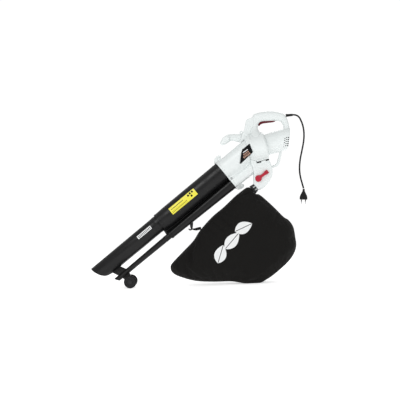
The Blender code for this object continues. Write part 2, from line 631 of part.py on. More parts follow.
def build_selector():
    wall_y = -ADAPTER_HALF_WIDTH
    direction = Vector((math.cos(SELECTOR_ANGLE), 0.0, math.sin(SELECTOR_ANGLE)))
    square = Vector((-direction.z, 0.0, direction.x))
    lever = rod("selector_lever", SELECTOR_PIVOT, 0.0147, wall_y - 0.0085, wall_y - GAP,
                "red_plastic", count=28)
    arm_outline = []
    for along, half in ((0.006, 0.0062), (0.040, 0.0066), (0.051, 0.0072), (0.056, 0.0050),
                        (SELECTOR_LENGTH, 0.0)):
        arm_outline.append(SELECTOR_PIVOT + direction * along + square * half)
    for along, half in ((0.056, 0.0050), (0.051, 0.0072), (0.040, 0.0066), (0.006, 0.0062)):
        arm_outline.append(SELECTOR_PIVOT + direction * along - square * half)
    arm = prism("selector_arm", arm_outline, wall_y - 0.0100, wall_y - 0.0012, None, 0.0012)
    bore = rod("selector_lever_bore", SELECTOR_PIVOT, SELECTOR_SHAFT_RADIUS + GAP,
               wall_y - 0.0062, wall_y + 0.010, None)
    join(lever, arm)
    cut(lever, bore)
    move_origin(lever, SELECTOR_PIVOT)
    rod("selector_shaft", SELECTOR_PIVOT, SELECTOR_SHAFT_RADIUS, wall_y - 0.0058,
        -wall_y + 0.002, "black_plastic")
    flap_dir = Vector((math.cos(FLAP_ANGLE), 0.0, math.sin(FLAP_ANGLE)))
    flap_side = Vector((-flap_dir.z, 0.0, flap_dir.x))
    corners = [(0.004, 0.0013), (FLAP_LENGTH, 0.0013), (FLAP_LENGTH, -0.0013), (0.004, -0.0013)]
    flap_outline = [SELECTOR_PIVOT + flap_dir * p + flap_side * q for p, q in corners]
    flap = prism("diverter_flap", flap_outline, -0.0315, 0.0315, "black_plastic")
    hub = rod("diverter_hub", SELECTOR_PIVOT, 0.008, -0.0315, 0.0315, None)
    hub_bore = rod("diverter_bore", SELECTOR_PIVOT, SELECTOR_SHAFT_RADIUS + GAP, -0.040,
                   0.040, None)
    join(flap, hub)
    cut(flap, hub_bore)
    move_origin(flap, SELECTOR_PIVOT)


def build_rear_brace():
    edges = [((0.4405, 0.6147), (0.4270, 0.6118)), ((0.4375, 0.6000), (0.4245, 0.5985)),
             ((0.4310, 0.5760), (0.4180, 0.5790)), ((0.4240, 0.5560), (0.4135, 0.5650)),
             ((0.4150, 0.5465), (0.4080, 0.5590)), ((0.4020, 0.5415), (0.3995, 0.5540)),
             ((0.3900, 0.5390), (0.3880, 0.5500))]
    ribbon("rear_brace", edges, 0.0085, "white_plastic", 3.0, 16)


# ---------------------------------------------------------------- front handle and strap eye
def build_front_handle():
    edges = [((0.2620, 0.7055), (0.2480, 0.6660)), ((0.2280, 0.7085), (0.2255, 0.6715)),
             ((0.2020, 0.7090), (0.2080, 0.6765)), ((0.1830, 0.7060), (0.1945, 0.6730)),
             ((0.1690, 0.6980), (0.1830, 0.6660)), ((0.1575, 0.6860), (0.1710, 0.6600)),
             ((0.1510, 0.6760), (0.1600, 0.6570)), ((0.1480, 0.6700), (0.1530, 0.6585))]
    handle = ribbon("front_handle", edges, 0.014, "white_plastic", 2.6, 20)
    grip_side = Vector((math.cos(math.radians(41.0)), 0.0, math.sin(math.radians(41.0))))
    grip_centre = in_plane(0.1725, 0.6815)
    right = Vector((-grip_side.z, 0.0, grip_side.x))
    rings = []
    for y, size in ((-0.050, 0.80), (-0.047, 0.95), (-0.041, 1.0), (0.041, 1.0), (0.047, 0.95),
                    (0.050, 0.80)):
        ring = []
        for i in range(20):
            turn = 2.0 * math.pi * i / 20
            ring.append(grip_centre + grip_side * (0.0225 * size * math.cos(turn))
                        + right * (0.0142 * size * math.sin(turn)) + ACROSS * y)
        rings.append(ring)
    join(handle, loft("front_grip", rings, None))
    seat = [(0.2409, 0.6600), (0.2409, 0.6645), (0.2514, 0.7001), (0.2644, 0.7262),
            (0.3000, 0.7262), (0.3000, 0.6600)]
    cut(handle, prism("front_handle_seat", [in_plane(x, z) for x, z in seat], -0.03, 0.03, None))


def build_strap_eye():
    centre = in_plane(0.2525, 0.7165)
    eye = rod("strap_eye", centre, 0.0086, -0.0035, 0.0035, "white_plastic", hole=0.0038)
    edge_dir = Vector((0.447, 0.0, 0.894))
    start = in_plane(0.2520, 0.7000)
    normal = Vector((0.894, 0.0, -0.447))
    near = start - normal * 0.0005
    crest_side = prism("crest_side_cut", [near - edge_dir * 0.03, near + edge_dir * 0.05,
                                          near + edge_dir * 0.05 + normal * 0.05,
                                          near - edge_dir * 0.03 + normal * 0.05],
                       -0.02, 0.02, None)
    cut(eye, crest_side)


# ---------------------------------------------------------------- latches
def build_latch(name, side, base):
    """A sprung hook over a catch on the tube; side is -1 above the tube and +1 below it."""
    outline = [(0.7685, 0.0010), (0.7713, 0.0010), (0.7713, 0.0050), (0.7755, 0.0050),
               (0.7775, 0.0012), (0.7970, 0.0012), (0.8060, 0.0032), (0.8150, 0.0080),
               (0.8165, 0.0140), (0.8110, 0.0205), (0.8000, 0.0238), (0.7870, 0.0218),
               (0.7770, 0.0160), (0.7700, 0.0090)]
    points = [on_tube(u, base + side * rise) for u, rise in outline]
    pivot = latch_pivot(side, base)
    latch = prism(name, points, -0.0070, 0.0070, "white_plastic", 0.0008)
    cut(latch, rod(name + "_bore", pivot, PIN_HOLE_RADIUS, -0.012, 0.012, None, count=16))
    move_origin(latch, pivot)
    rod(name + "_pin", pivot, PIN_RADIUS, -0.0112, 0.0112, "steel", count=16)


# ---------------------------------------------------------------- wheels
def build_wheels():
    foot = WHEEL_CENTRE
    mount_left = on_tube(0.088, 0.1333)
    mount_right = on_tube(0.128, 0.1332)
    outline = [mount_left, mount_right]
    for degrees in (20, -20, -60, -100, -140, -180):
        turn = math.radians(degrees)
        outline.append(foot + Vector((math.cos(turn), 0.0, math.sin(turn))) * 0.011)
    bracket = prism("wheel_bracket", outline, -0.016, 0.016, "black_plastic", 0.0015)
    cut(bracket, rod("axle_hole", foot, AXLE_RADIUS + GAP, -0.030, 0.030, None))
    rod("wheel_axle", foot, AXLE_RADIUS, -0.0556, 0.0556, "steel")
    for name, hand in (("left", -1.0), ("right", 1.0)):
        profile = [(WHEEL_INNER_Y, 0.0280), (WHEEL_INNER_Y + 0.0025, WHEEL_RADIUS),
                   (WHEEL_OUTER_Y - 0.0025, WHEEL_RADIUS), (WHEEL_OUTER_Y, 0.0280),
                   (WHEEL_OUTER_Y, 0.0235), (WHEEL_OUTER_Y - 0.004, 0.0220),
                   (WHEEL_OUTER_Y - 0.004, 0.0110), (WHEEL_OUTER_Y, 0.0100),
                   (WHEEL_OUTER_Y, AXLE_RADIUS + 0.0002), (WHEEL_INNER_Y, AXLE_RADIUS + 0.0002)]
        rings = []
        for y, radius in profile:
            ring = []
            for i in range(24):
                turn = 2.0 * math.pi * i / 24
                spoke = Vector((math.cos(turn), 0.0, math.sin(turn)))
                ring.append(foot + spoke * radius + ACROSS * (hand * y))
            rings.append(ring)
        wheel = loft("wheel_" + name, rings, "black_plastic", closed=True)
        move_origin(wheel, foot)
        y_pair = sorted((hand * (WHEEL_OUTER_Y + GAP), hand * (WHEEL_OUTER_Y + 0.0028)))
        rod("axle_clip_" + name, foot, 0.0085, y_pair[0], y_pair[1], "steel",
            hole=AXLE_RADIUS + GAP)


# ---------------------------------------------------------------- bag
BAG_OUTLINE = [(0.2790, 0.4530), (0.2660, 0.4560), (0.2130, 0.4210), (0.1550, 0.3650),
               (0.0970, 0.3180), (0.0370, 0.2560), (0.0030, 0.2080), (-0.0490, 0.1580),
               (-0.1010, 0.1070), (-0.1095, 0.0850), (-0.1010, 0.0640), (-0.0720, 0.0450),
               (0.0040, 0.0210), (0.0910, 0.0130), (0.1700, 0.0120), (0.2130, 0.0060),
               (0.2380, 0.0), (0.3220, 0.0), (0.3450, 0.0120), (0.3830, 0.0400),
               (0.4390, 0.0850), (0.4730, 0.1250), (0.4882, 0.1650), (0.4855, 0.2060),
               (0.4780, 0.2560), (0.4570, 0.2890), (0.4345, 0.3045), (0.3870, 0.3560),
               (0.3400, 0.4020), (0.3180, 0.4180), (0.3040, 0.4188)]
BAG_MIDDLE = (0.230, 0.190)
BAG_EDGES = {0: 0.034, 1: 0.030, 2: 0.018, 12: 0.010, 13: 0.020, 14: 0.036, 15: 0.050, 16: 0.058,
             17: 0.058, 18: 0.050, 19: 0.030, 20: 0.014, 28: 0.018, 29: 0.030, 30: 0.034}
BAG_THIN_EDGE = 0.006


def build_bag():
    """A pillow on its side outline: flat under its base, thick at the neck."""
    levels = (1.0, 0.96, 0.86, 0.68, 0.42)
    bm = bmesh.new()
    rows = {}
    for hand in (-1.0, 1.0):
        for level in levels:
            row = []
            for i, (x, z) in enumerate(BAG_OUTLINE):
                edge = BAG_EDGES.get(i, BAG_THIN_EDGE)
                swell = math.sqrt(1.0 - level ** 3.0)
                y = hand * (edge + (BAG_HALF_THICKNESS - edge) * swell)
                px = BAG_MIDDLE[0] + (x - BAG_MIDDLE[0]) * level
                pz = BAG_MIDDLE[1] + (z - BAG_MIDDLE[1]) * level
                row.append(bm.verts.new((px, y, pz)))
            rows[hand, level] = row
        crown = bm.verts.new((BAG_MIDDLE[0], hand * BAG_HALF_THICKNESS, BAG_MIDDLE[1]))
        last = rows[hand, levels[-1]]
        for i, vertex in enumerate(last):
            bm.faces.new((vertex, last[(i + 1) % len(last)], crown))
    strips = [(rows[-1.0, 1.0], rows[1.0, 1.0])]
    for hand in (-1.0, 1.0):
        strips += [(rows[hand, p], rows[hand, q]) for p, q in zip(levels, levels[1:])]
    for first, second in strips:
        for i in range(len(first)):
            j = (i + 1) % len(first)
            bm.faces.new((first[i], first[j], second[j], second[i]))
    finish("debris_bag", bm, "bag_cloth")


NECK_MIDDLE = in_plane(0.3085, 0.4508)


def build_bag_collar():
    rings = []
    for along, high, wide in ((0.0006, 0.0182, 0.0345), (0.0006, 0.0200, 0.0370),
                              (0.0120, 0.0215, 0.0385), (0.0200, 0.0205, 0.0375),
                              (0.0200, 0.0160, 0.0320), (0.0006, 0.0150, 0.0310)):
        rings.append(oval(NECK_MIDDLE - TUBE_DIR * along, TUBE_DOWN, high, wide, 2.6, 32))
    loft("bag_collar", rings, "black_plastic", closed=True)


def build_bag_hook():
    top_left = on_tube(0.495, 0.1400)
    top_right = on_tube(0.515, 0.1405)
    hook = prism("bag_hook", [top_left, top_right, in_plane(0.0040, 0.2800),
                              in_plane(0.0040, 0.2700), in_plane(-0.0005, 0.2655),
                              in_plane(-0.0070, 0.2660), in_plane(-0.0110, 0.2710),
                              in_plane(-0.0110, 0.2800)],
                 -0.003, 0.003, "black_plastic")
    cut(hook, rod("hook_eye", in_plane(-0.0035, 0.2735), 0.0042, -0.010, 0.010, None, count=16))
    edges = [((-0.0030, 0.2752), (-0.0034, 0.2740)), ((0.0060, 0.2718), (0.0056, 0.2706)),
             ((0.0160, 0.2692), (0.0158, 0.2680)), ((0.0270, 0.2680), (0.0270, 0.2668)),
             ((0.0375, 0.2683), (0.0378, 0.2671))]
    strap = ribbon("bag_strap", edges, 0.0110, "bag_cloth", 6.0, 12)
    clear = prism("strap_clear", [in_plane(-0.030, 0.260), in_plane(0.0046, 0.260),
                                  in_plane(0.0046, 0.310), in_plane(-0.030, 0.310)],
                  -0.030, 0.030, None)
    cut(strap, clear)


# ---------------------------------------------------------------- cord and plug
CORD_ROUTE = [(0.5003, 0.7880), (0.5091, 0.7873), (0.5175, 0.7843), (0.5248, 0.7793),
              (0.5306, 0.7726), (0.5334, 0.7673), (0.5373, 0.7580), (0.5409, 0.7480),
              (0.5440, 0.7370), (0.5464, 0.7250), (0.5480, 0.7110), (0.5484, 0.6950),
              (0.5474, 0.6770), (0.5435, 0.6510), (0.5345, 0.6130), (0.5265, 0.5800),
              (0.5215, 0.5470), (0.5205, 0.5170), (0.5235, 0.4900), (0.5295, 0.4630),
              (0.5358, 0.4370)]
PLUG_TOP = in_plane(0.5362, 0.4350)
PLUG_DIR = Vector((-0.0580, 0.0, -0.9983))


def build_cord():
    boot_rings = []
    for along, radius in ((-0.012, 0.0050), (-0.0026, 0.0050), (-0.0026, 0.0075),
                          (0.0020, 0.0075), (0.0060, 0.0068), (BOOT_LENGTH, 0.0047)):
        centre = CORD_EXIT + CORD_EXIT_DIR * along
        side = Vector((-CORD_EXIT_DIR.z, 0.0, CORD_EXIT_DIR.x))
        boot_rings.append(oval(centre, side, radius, radius, 2.0, 20))
    loft("strain_relief", boot_rings, "black_rubber")

    curve = bpy.data.curves.new("power_cord", "CURVE")
    curve.dimensions = "3D"
    curve.bevel_depth = CORD_DIAMETER / 2.0
    curve.bevel_resolution = 2
    curve.use_fill_caps = True
    path = smooth_path([in_plane(x, z) for x, z in CORD_ROUTE], 2)
    spline = curve.splines.new("POLY")
    spline.points.add(len(path) - 1)
    for point, place in zip(spline.points, path):
        point.co = (*place, 1.0)
    colour, roughness, metallic = PALETTE["black_rubber"]
    curve.materials.append(make_material("power_cord_rubber", colour, roughness, metallic))
    cord = bpy.data.objects.new("power_cord", curve)
    bpy.context.scene.collection.objects.link(cord)


def build_plug():
    side = Vector((-PLUG_DIR.z, 0.0, PLUG_DIR.x))
    rings = []
    for along, high, wide in ((0.0004, 0.0052, 0.0052), (0.010, 0.0064, 0.0060),
                              (0.022, 0.0115, 0.0068), (0.034, 0.0172, 0.0070),
                              (0.044, 0.0185, 0.0070), (0.052, 0.0180, 0.0066)):
        rings.append(oval(PLUG_TOP + PLUG_DIR * along, side, high, wide, 2.8, 28))
    loft("plug_body", rings, "black_rubber")
    for name, offset in (("plug_pin_front", -0.0095), ("plug_pin_rear", 0.0095)):
        start = PLUG_TOP + PLUG_DIR * (0.052 + GAP) + side * offset
        bar(name, start, start + PLUG_DIR * 0.019, 0.0020, "steel", 12)


# ---------------------------------------------------------------- labels and screws
def duct_flank(point):
    """Half width of the white duct and fan cover over a point of the mid plane."""
    rise = point - MOTOR_CENTRE
    a = rise.dot(MOTOR_DIR)
    n = rise.dot(MOTOR_UP)
    if a > COVER_FRONT:
        stations = [(pa, 0.0, high, wide) for pa, high, wide in COVER_PROFILE]
        at = a
        off = n
    else:
        stations = DUCT_STATIONS
        along = point - TUBE_TIP
        at = along.dot(TUBE_DIR)
        off = along.dot(TUBE_DOWN) - UPPER_AXIS_V
    for low, high in zip(stations, stations[1:]):
        if at <= high[0] or high is stations[-1]:
            mix = min(max((at - low[0]) / (high[0] - low[0]), 0.0), 1.0)
            half_high = low[2] + (high[2] - low[2]) * mix
            half_wide = low[3] + (high[3] - low[3]) * mix
            break
    return half_wide * math.sqrt(max(1.0 - (off / half_high) ** 2, 0.0))


def tube_flank(axis_v, radius):
    def half_width(point):
        off = (point - TUBE_TIP).dot(TUBE_DOWN) - axis_v
        return math.sqrt(max(radius ** 2 - off ** 2, 0.0))
    return half_width


def build_label(name, corners, flank, look, lift, steps):
    """A thin plate laid over a curved flank on the left side."""
    thickness = 0.0006
    a, b, c, d = corners
    bm = bmesh.new()
    grids = []
    for extra in (lift, lift + thickness):
        grid = []
        for i in range(steps + 1):
            row = []
            for j in range(steps + 1):
                s = i / steps
                t = j / steps
                spot = (a * (1 - s) + b * s) * (1 - t) + (d * (1 - s) + c * s) * t
                row.append(bm.verts.new((spot.x, -flank(spot) - extra, spot.z)))
            grid.append(row)
        grids.append(grid)
    for grid in grids:
        for i in range(steps):
            for j in range(steps):
                bm.faces.new((grid[i][j], grid[i + 1][j], grid[i + 1][j + 1], grid[i][j + 1]))
    near, far = grids
    for k in range(steps):
        for first, second in (((k, 0), (k + 1, 0)), ((k, steps), (k + 1, steps)),
                              ((0, k), (0, k + 1)), ((steps, k), (steps, k + 1))):
            bm.faces.new((near[first[0]][first[1]], near[second[0]][second[1]],
                          far[second[0]][second[1]], far[first[0]][first[1]]))
    finish(name, bm, look)


def build_labels():
    badge = [in_plane(0.2520, 0.6310), in_plane(0.2830, 0.6560), in_plane(0.2930, 0.6220),
             in_plane(0.2405, 0.5700)]
    build_label("badge_plate", badge, duct_flank, "badge_black", 0.0030, 8)
    yellow = [on_tube(0.465, 0.017), on_tube(0.617, 0.017), on_tube(0.617, 0.052),
              on_tube(0.465, 0.052)]
    build_label("tube_label_upper", yellow, tube_flank(UPPER_AXIS_V, UPPER_RADIUS),
                "label_yellow", 0.0004, 8)
    white = [on_tube(0.266, 0.021), on_tube(0.347, 0.021), on_tube(0.347, 0.038),
             on_tube(0.266, 0.038)]
    build_label("tube_label_lower", white, tube_flank(LOWER_AXIS_V, LOWER_RADIUS),
                "label_white", 0.0004, 8)


def build_duct_screw():
    bar("duct_screw", in_plane(*DUCT_SCREW, -0.0310), in_plane(*DUCT_SCREW, -0.0258), 0.0032,
        "steel", 16)


def build_all():
    for old in list(bpy.data.objects):
        bpy.data.objects.remove(old, do_unlink=True)
    build_lower_suction_tube()
    build_lower_blow_tube()
    build_upper_tube()
    build_tube_brackets()
    build_inlet_duct()
    build_fan_cover()
    build_fan_casing()
    build_housing()
    build_trigger()
    build_motor()
    build_adapter()
    build_selector()
    build_rear_brace()
    build_front_handle()
    build_strap_eye()
    for name, (side, base) in zip(("latch_upper", "latch_lower"), LATCH_BASES):
        build_latch(name, side, base)
    build_wheels()
    build_bag()
    build_bag_collar()
    build_bag_hook()
    build_cord()
    build_plug()
    build_labels()
    build_duct_screw()


build_all()
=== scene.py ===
"""Looks of the corded leaf blower and vacuum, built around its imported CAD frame.

Units are metres. The machine's left side faces the camera at -Y. Most shapes follow the tube
line, from the nozzle tip up to the fan, or the motor line, along the motor shaft.
"""

import json
import math

import bmesh
import bpy
import numpy as np
from mathutils import Matrix, Vector
from mathutils.bvhtree import BVHTree


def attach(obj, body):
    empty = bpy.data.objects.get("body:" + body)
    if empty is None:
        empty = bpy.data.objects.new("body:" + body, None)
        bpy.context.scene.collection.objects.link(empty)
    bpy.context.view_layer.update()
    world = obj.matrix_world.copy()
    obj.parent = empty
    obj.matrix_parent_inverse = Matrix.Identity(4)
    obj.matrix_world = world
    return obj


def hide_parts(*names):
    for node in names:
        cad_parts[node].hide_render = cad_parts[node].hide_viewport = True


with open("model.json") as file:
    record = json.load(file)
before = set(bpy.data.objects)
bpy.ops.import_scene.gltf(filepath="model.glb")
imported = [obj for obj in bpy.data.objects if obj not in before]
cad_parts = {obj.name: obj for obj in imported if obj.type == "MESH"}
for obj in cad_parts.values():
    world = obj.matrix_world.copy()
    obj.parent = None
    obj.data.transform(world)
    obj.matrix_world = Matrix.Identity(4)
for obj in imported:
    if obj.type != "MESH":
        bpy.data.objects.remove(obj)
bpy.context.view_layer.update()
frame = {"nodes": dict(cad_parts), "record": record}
NODES = frame["nodes"]
ACROSS = Vector((0.0, 1.0, 0.0))

# ---------------------------------------------------------------- frames of reference
TUBE_ANGLE = math.radians(37.4)
TUBE_TIP = Vector((-0.4882, 0.0, 0.0971))
TUBE_DIR = Vector((math.cos(TUBE_ANGLE), 0.0, math.sin(TUBE_ANGLE)))
TUBE_DOWN = Vector((math.sin(TUBE_ANGLE), 0.0, -math.cos(TUBE_ANGLE)))
MOTOR_ANGLE = math.radians(13.0)
MOTOR_CENTRE = Vector((0.3725, 0.0, 0.653))
MOTOR_DIR = Vector((math.cos(MOTOR_ANGLE), 0.0, math.sin(MOTOR_ANGLE)))
MOTOR_UP = Vector((-math.sin(MOTOR_ANGLE), 0.0, math.cos(MOTOR_ANGLE)))


def on_tube(u, v, y=0.0):
    """u runs up the tube line from its tip, v square to it and down."""
    return TUBE_TIP + TUBE_DIR * u + TUBE_DOWN * v + ACROSS * y


def on_motor(a, n, y=0.0):
    """a runs back along the motor shaft, n square to it and up."""
    return MOTOR_CENTRE + MOTOR_DIR * a + MOTOR_UP * n + ACROSS * y


def in_plane(x, z, y=0.0):
    return Vector((x, y, z))


def drawn(place, points):
    """Pairs of coordinates as points, by on_tube, on_motor, in_plane or the like."""
    return [place(p, q) for p, q in points]


def square_to(along):
    return Vector((-along.z, 0.0, along.x))


def turned(angle):
    """The direction at an angle above the X axis, and the one square to it."""
    along = Vector((math.cos(angle), 0.0, math.sin(angle)))
    return along, square_to(along)


def linked(name, data):
    thing = bpy.data.objects.new(name, data)
    bpy.context.scene.collection.objects.link(thing)
    return thing


# ---------------------------------------------------------------- camera
CAMERA_DISTANCE = 5.0
CAMERA_AIM = Vector((0.042, 0.0, 0.402))
CAMERA_ROLL = math.radians(2.37)
FIELD_WIDTH = 1.90
SENSOR = 36.0


def build_camera():
    data = bpy.data.cameras.new("camera")
    data.sensor_width = SENSOR
    data.lens = SENSOR * CAMERA_DISTANCE / FIELD_WIDTH
    data.clip_end = 60.0
    camera = linked("camera", data)
    right = Vector((math.cos(CAMERA_ROLL), 0.0, -math.sin(CAMERA_ROLL)))
    up = Vector((math.sin(CAMERA_ROLL), 0.0, math.cos(CAMERA_ROLL)))
    back = right.cross(up)
    turn = Matrix((right, up, back)).transposed().to_4x4()
    camera.matrix_world = Matrix.Translation(CAMERA_AIM + back * CAMERA_DISTANCE) @ turn
    bpy.context.scene.camera = camera


build_camera()

# ---------------------------------------------------------------- materials


def set_inputs(node, values):
    for socket, value in values.items():
        node.inputs[socket].default_value = value


def new_material(name, colour, roughness, metallic=0.0):
    """A Principled material; returns its tree and shader too."""
    material = bpy.data.materials.new(name)
    material.use_nodes = True
    tree = material.node_tree
    shader = tree.nodes["Principled BSDF"]
    set_inputs(shader, {"Base Color": (*colour, 1.0), "Roughness": roughness,
                        "Metallic": metallic})
    return material, tree, shader


def noise(tree, scale, detail=4.0):
    coords = tree.nodes.new("ShaderNodeTexCoord")
    node = tree.nodes.new("ShaderNodeTexNoise")
    set_inputs(node, {"Scale": scale, "Detail": detail, "Roughness": 0.55})
    tree.links.new(coords.outputs["Object"], node.inputs["Vector"])
    return node.outputs["Fac"]


def spread(tree, value, low, high, start=0.35, end=0.65):
    """Map a value between start and end to one between low and high."""
    node = tree.nodes.new("ShaderNodeMapRange")
    set_inputs(node, {"From Min": start, "From Max": end, "To Min": low, "To Max": high})
    tree.links.new(value, node.inputs["Value"])
    return node.outputs["Result"]


def mixed(tree, factor, first, second):
    node = tree.nodes.new("ShaderNodeMix")
    node.data_type = "RGBA"
    tree.links.new(factor, node.inputs["Factor"])
    for socket, value in ((node.inputs[6], first), (node.inputs[7], second)):
        if isinstance(value, tuple):
            socket.default_value = (*value, 1.0)
        else:
            tree.links.new(value, socket)
    return node.outputs[2]


def bumped(tree, shader, height, strength, distance):
    node = tree.nodes.new("ShaderNodeBump")
    set_inputs(node, {"Strength": strength, "Distance": distance})
    tree.links.new(height, node.inputs["Height"])
    tree.links.new(node.outputs["Normal"], shader.inputs["Normal"])


def moulded(name, colour, roughness, shade, grain=900.0, depth=0.00010, metallic=0.0, shine=0.5):
    """Moulded plastic: faint colour drift, painted shade in its creases, spark-eroded grain."""
    material, tree, shader = new_material(name, colour, roughness, metallic)
    shader.inputs["Specular IOR Level"].default_value = shine
    drift = spread(tree, noise(tree, 7.0), 0.0, 1.0)
    darker = tuple(c * shade for c in colour)
    base = mixed(tree, drift, colour, darker)
    # Painted shade: concave creases, found by Pointiness, are darkened towards 0.55 of the colour.
    geometry = tree.nodes.new("ShaderNodeNewGeometry")
    painted_crease_shade = spread(tree, geometry.outputs["Pointiness"], 0.45, 0.0, 0.44, 0.49)
    base = mixed(tree, painted_crease_shade, base, tuple(c * 0.55 for c in colour))
    tree.links.new(base, shader.inputs["Base Color"])
    rough = spread(tree, noise(tree, 38.0), roughness - 0.05, roughness + 0.07)
    tree.links.new(rough, shader.inputs["Roughness"])
    bumped(tree, shader, noise(tree, grain, 2.0), 0.25, depth)
    return material


def woven(name, colour, pitch, depth):
    """Coarse cloth: two crossed sets of threads, faded a little on their crowns."""
    material, tree, shader = new_material(name, colour, 0.88)
    set_inputs(shader, {"Specular IOR Level": 0.15, "Sheen Weight": 0.03,
                        "Sheen Roughness": 0.5})
    coords = tree.nodes.new("ShaderNodeTexCoord")
    threads = []
    for turn in (TUBE_ANGLE, TUBE_ANGLE + math.pi / 2.0):
        mapping = tree.nodes.new("ShaderNodeMapping")
        mapping.inputs["Rotation"].default_value = (0.0, turn, 0.0)
        tree.links.new(coords.outputs["Object"], mapping.inputs["Vector"])
        wave = tree.nodes.new("ShaderNodeTexWave")
        set_inputs(wave, {"Scale": 0.314 / pitch, "Distortion": 1.2, "Detail": 1.0,
                          "Detail Scale": 4.0})
        tree.links.new(mapping.outputs["Vector"], wave.inputs["Vector"])
        threads.append(wave.outputs["Fac"])
    weave = tree.nodes.new("ShaderNodeMath")
    weave.operation = "MULTIPLY"
    tree.links.new(threads[0], weave.inputs[0])
    tree.links.new(threads[1], weave.inputs[1])
    faded = tuple(c * 1.6 + 0.0008 for c in colour)
    base = mixed(tree, spread(tree, weave.outputs["Value"], 0.0, 1.0, 0.1, 0.9), colour, faded)
    dust = spread(tree, noise(tree, 9.0, 6.0), 0.0, 0.35, 0.45, 0.75)
    base = mixed(tree, dust, base, tuple(c * 1.4 + 0.0018 for c in colour))
    tree.links.new(base, shader.inputs["Base Color"])
    bumped(tree, shader, weave.outputs["Value"], 0.5, depth)
    return material


WHITE = moulded("white_moulding", (0.76, 0.80, 0.795), 0.36, 0.97)
BLACK = moulded("black_moulding", (0.0072, 0.0072, 0.0076), 0.33, 0.7, 700.0, 0.00012, shine=0.27)
DARK = moulded("dark_moulding", (0.017, 0.017, 0.018), 0.50, 0.8, shine=0.35)
RED = moulded("red_moulding", (0.44, 0.008, 0.030), 0.33, 0.88, shine=0.4)
# The trigger's red plastic, the same red_plastic as RED, painted darker with the shade it sits in
# under the handle.
SHADED_TRIGGER_RED = moulded("trigger_red_painted_shade", (0.115, 0.005, 0.013), 0.42, 0.88, shine=0.25)
RUBBER = moulded("soft_rubber", (0.0065, 0.0065, 0.0070), 0.55, 0.7, 500.0, 0.00015, shine=0.22)
STEEL = moulded("bright_steel", (0.56, 0.56, 0.57), 0.30, 0.9, 500.0, 0.00005, 1.0)
IRON = moulded("laminated_iron", (0.30, 0.30, 0.32), 0.45, 0.8, 300.0, 0.00010, 1.0)
BRASS = moulded("brass", (0.76, 0.57, 0.26), 0.32, 0.85, 400.0, 0.00005, 1.0)
CLOTH = woven("bag_weave", (0.0056, 0.0052, 0.0047), 0.0011, 0.00020)
WEBBING = woven("strap_weave", (0.005, 0.005, 0.005), 0.0016, 0.00030)
BADGE = moulded("badge_print", (0.0035, 0.0045, 0.0050), 0.42, 0.8, shine=0.10)
COPPER = moulded("copper_print", (0.44, 0.25, 0.18), 0.35, 0.85)
YELLOW = moulded("yellow_print", (0.84, 0.76, 0.06), 0.38, 0.95)
LABEL = moulded("white_print", (0.80, 0.81, 0.81), 0.38, 0.97)

SLOT_LOOKS = {"white_plastic": WHITE, "black_plastic": BLACK, "inner_plastic": DARK,
              "red_plastic": RED, "black_rubber": RUBBER, "bag_cloth": CLOTH, "steel": STEEL,
              "laminated_iron": IRON, "brass": BRASS, "badge_black": BADGE,
              "label_yellow": YELLOW, "label_white": LABEL}
LOOK_SLOTS = {look.name: slot for slot, look in SLOT_LOOKS.items()}
LOOK_SLOTS.update({SHADED_TRIGGER_RED.name: "red_plastic", WEBBING.name: "bag_cloth",
                   COPPER.name: "label_white"})


def paint_cad_nodes():
    for row in frame["record"]["subparts"]:
        mesh = NODES[row["node"]].data
        mesh.materials.clear()
        mesh.materials.append(SLOT_LOOKS[row["material_slot"]])


paint_cad_nodes()


# ---------------------------------------------------------------- mesh helpers
SOFT_EDGE = 50.0


def oval(centre, side, half_side, half_across, power=2.0, count=64):
    """A superellipse ring in the plane of `side` and Y."""
    ring = []
    for i in range(count):
        angle = 2.0 * math.pi * i / count
        c = math.cos(angle)
        s = math.sin(angle)
        along = math.copysign(abs(c) ** (2.0 / power), c) * half_side
        across = math.copysign(abs(s) ** (2.0 / power), s) * half_across
        ring.append(centre + side * along + ACROSS * across)
    return ring


def circle(centre, axis, radius, count=48):
    """A ring square to any axis."""
    side = axis.cross(ACROSS)
    if side.length < 0.1:
        side = Vector((1.0, 0.0, 0.0))
    side = side.normalized()
    other = axis.cross(side)
    turn = 2.0 * math.pi / count
    return [centre + side * (math.cos(turn * i) * radius) + other * (math.sin(turn * i) * radius)
            for i in range(count)]


def skin(rings, closed=False):
    """Faces between rings; an open skin gets end caps."""
    bm = bmesh.new()
    rows = [[bm.verts.new(point) for point in ring] for ring in rings]
    pairs = list(zip(rows, rows[1:]))
    if closed:
        pairs.append((rows[-1], rows[0]))
    for low, high in pairs:
        for i in range(len(low)):
            j = (i + 1) % len(low)
            bm.faces.new((low[i], low[j], high[j], high[i]))
    if not closed:
        bm.faces.new(rows[0])
        bm.faces.new(rows[-1])
    return bm


def raw_object(name, bm):
    """A new object from a bmesh, with its faces turned outwards."""
    bmesh.ops.recalc_face_normals(bm, faces=bm.faces)
    mesh = bpy.data.meshes.new(name)
    bm.to_mesh(mesh)
    bm.free()
    return linked(name, mesh)


def baked(piece):
    """Apply the piece's modifiers to its mesh."""
    graph = bpy.context.evaluated_depsgraph_get()
    mesh = bpy.data.meshes.new_from_object(piece.evaluated_get(graph))
    piece.modifiers.clear()
    piece.data = mesh
    return piece


def shown(piece, look, body="blower", nodes=(), angle=38.0):
    """Give the piece its look, let it ride on its body and stand for its CAD nodes."""
    mesh = piece.data
    mesh.materials.clear()
    mesh.materials.append(look)
    mesh.shade_smooth()
    if angle:
        mesh.set_sharp_from_angle(angle=math.radians(angle))
    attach(piece, body)
    if nodes:
        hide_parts(*nodes)


def bevelled(piece, width, segments=3, angle=35.0):
    """Round the edges that are sharper than the angle."""
    bevel = piece.modifiers.new("bevel", "BEVEL")
    bevel.width = width
    bevel.segments = segments
    bevel.limit_method = "ANGLE"
    bevel.angle_limit = math.radians(angle)
    return baked(piece)


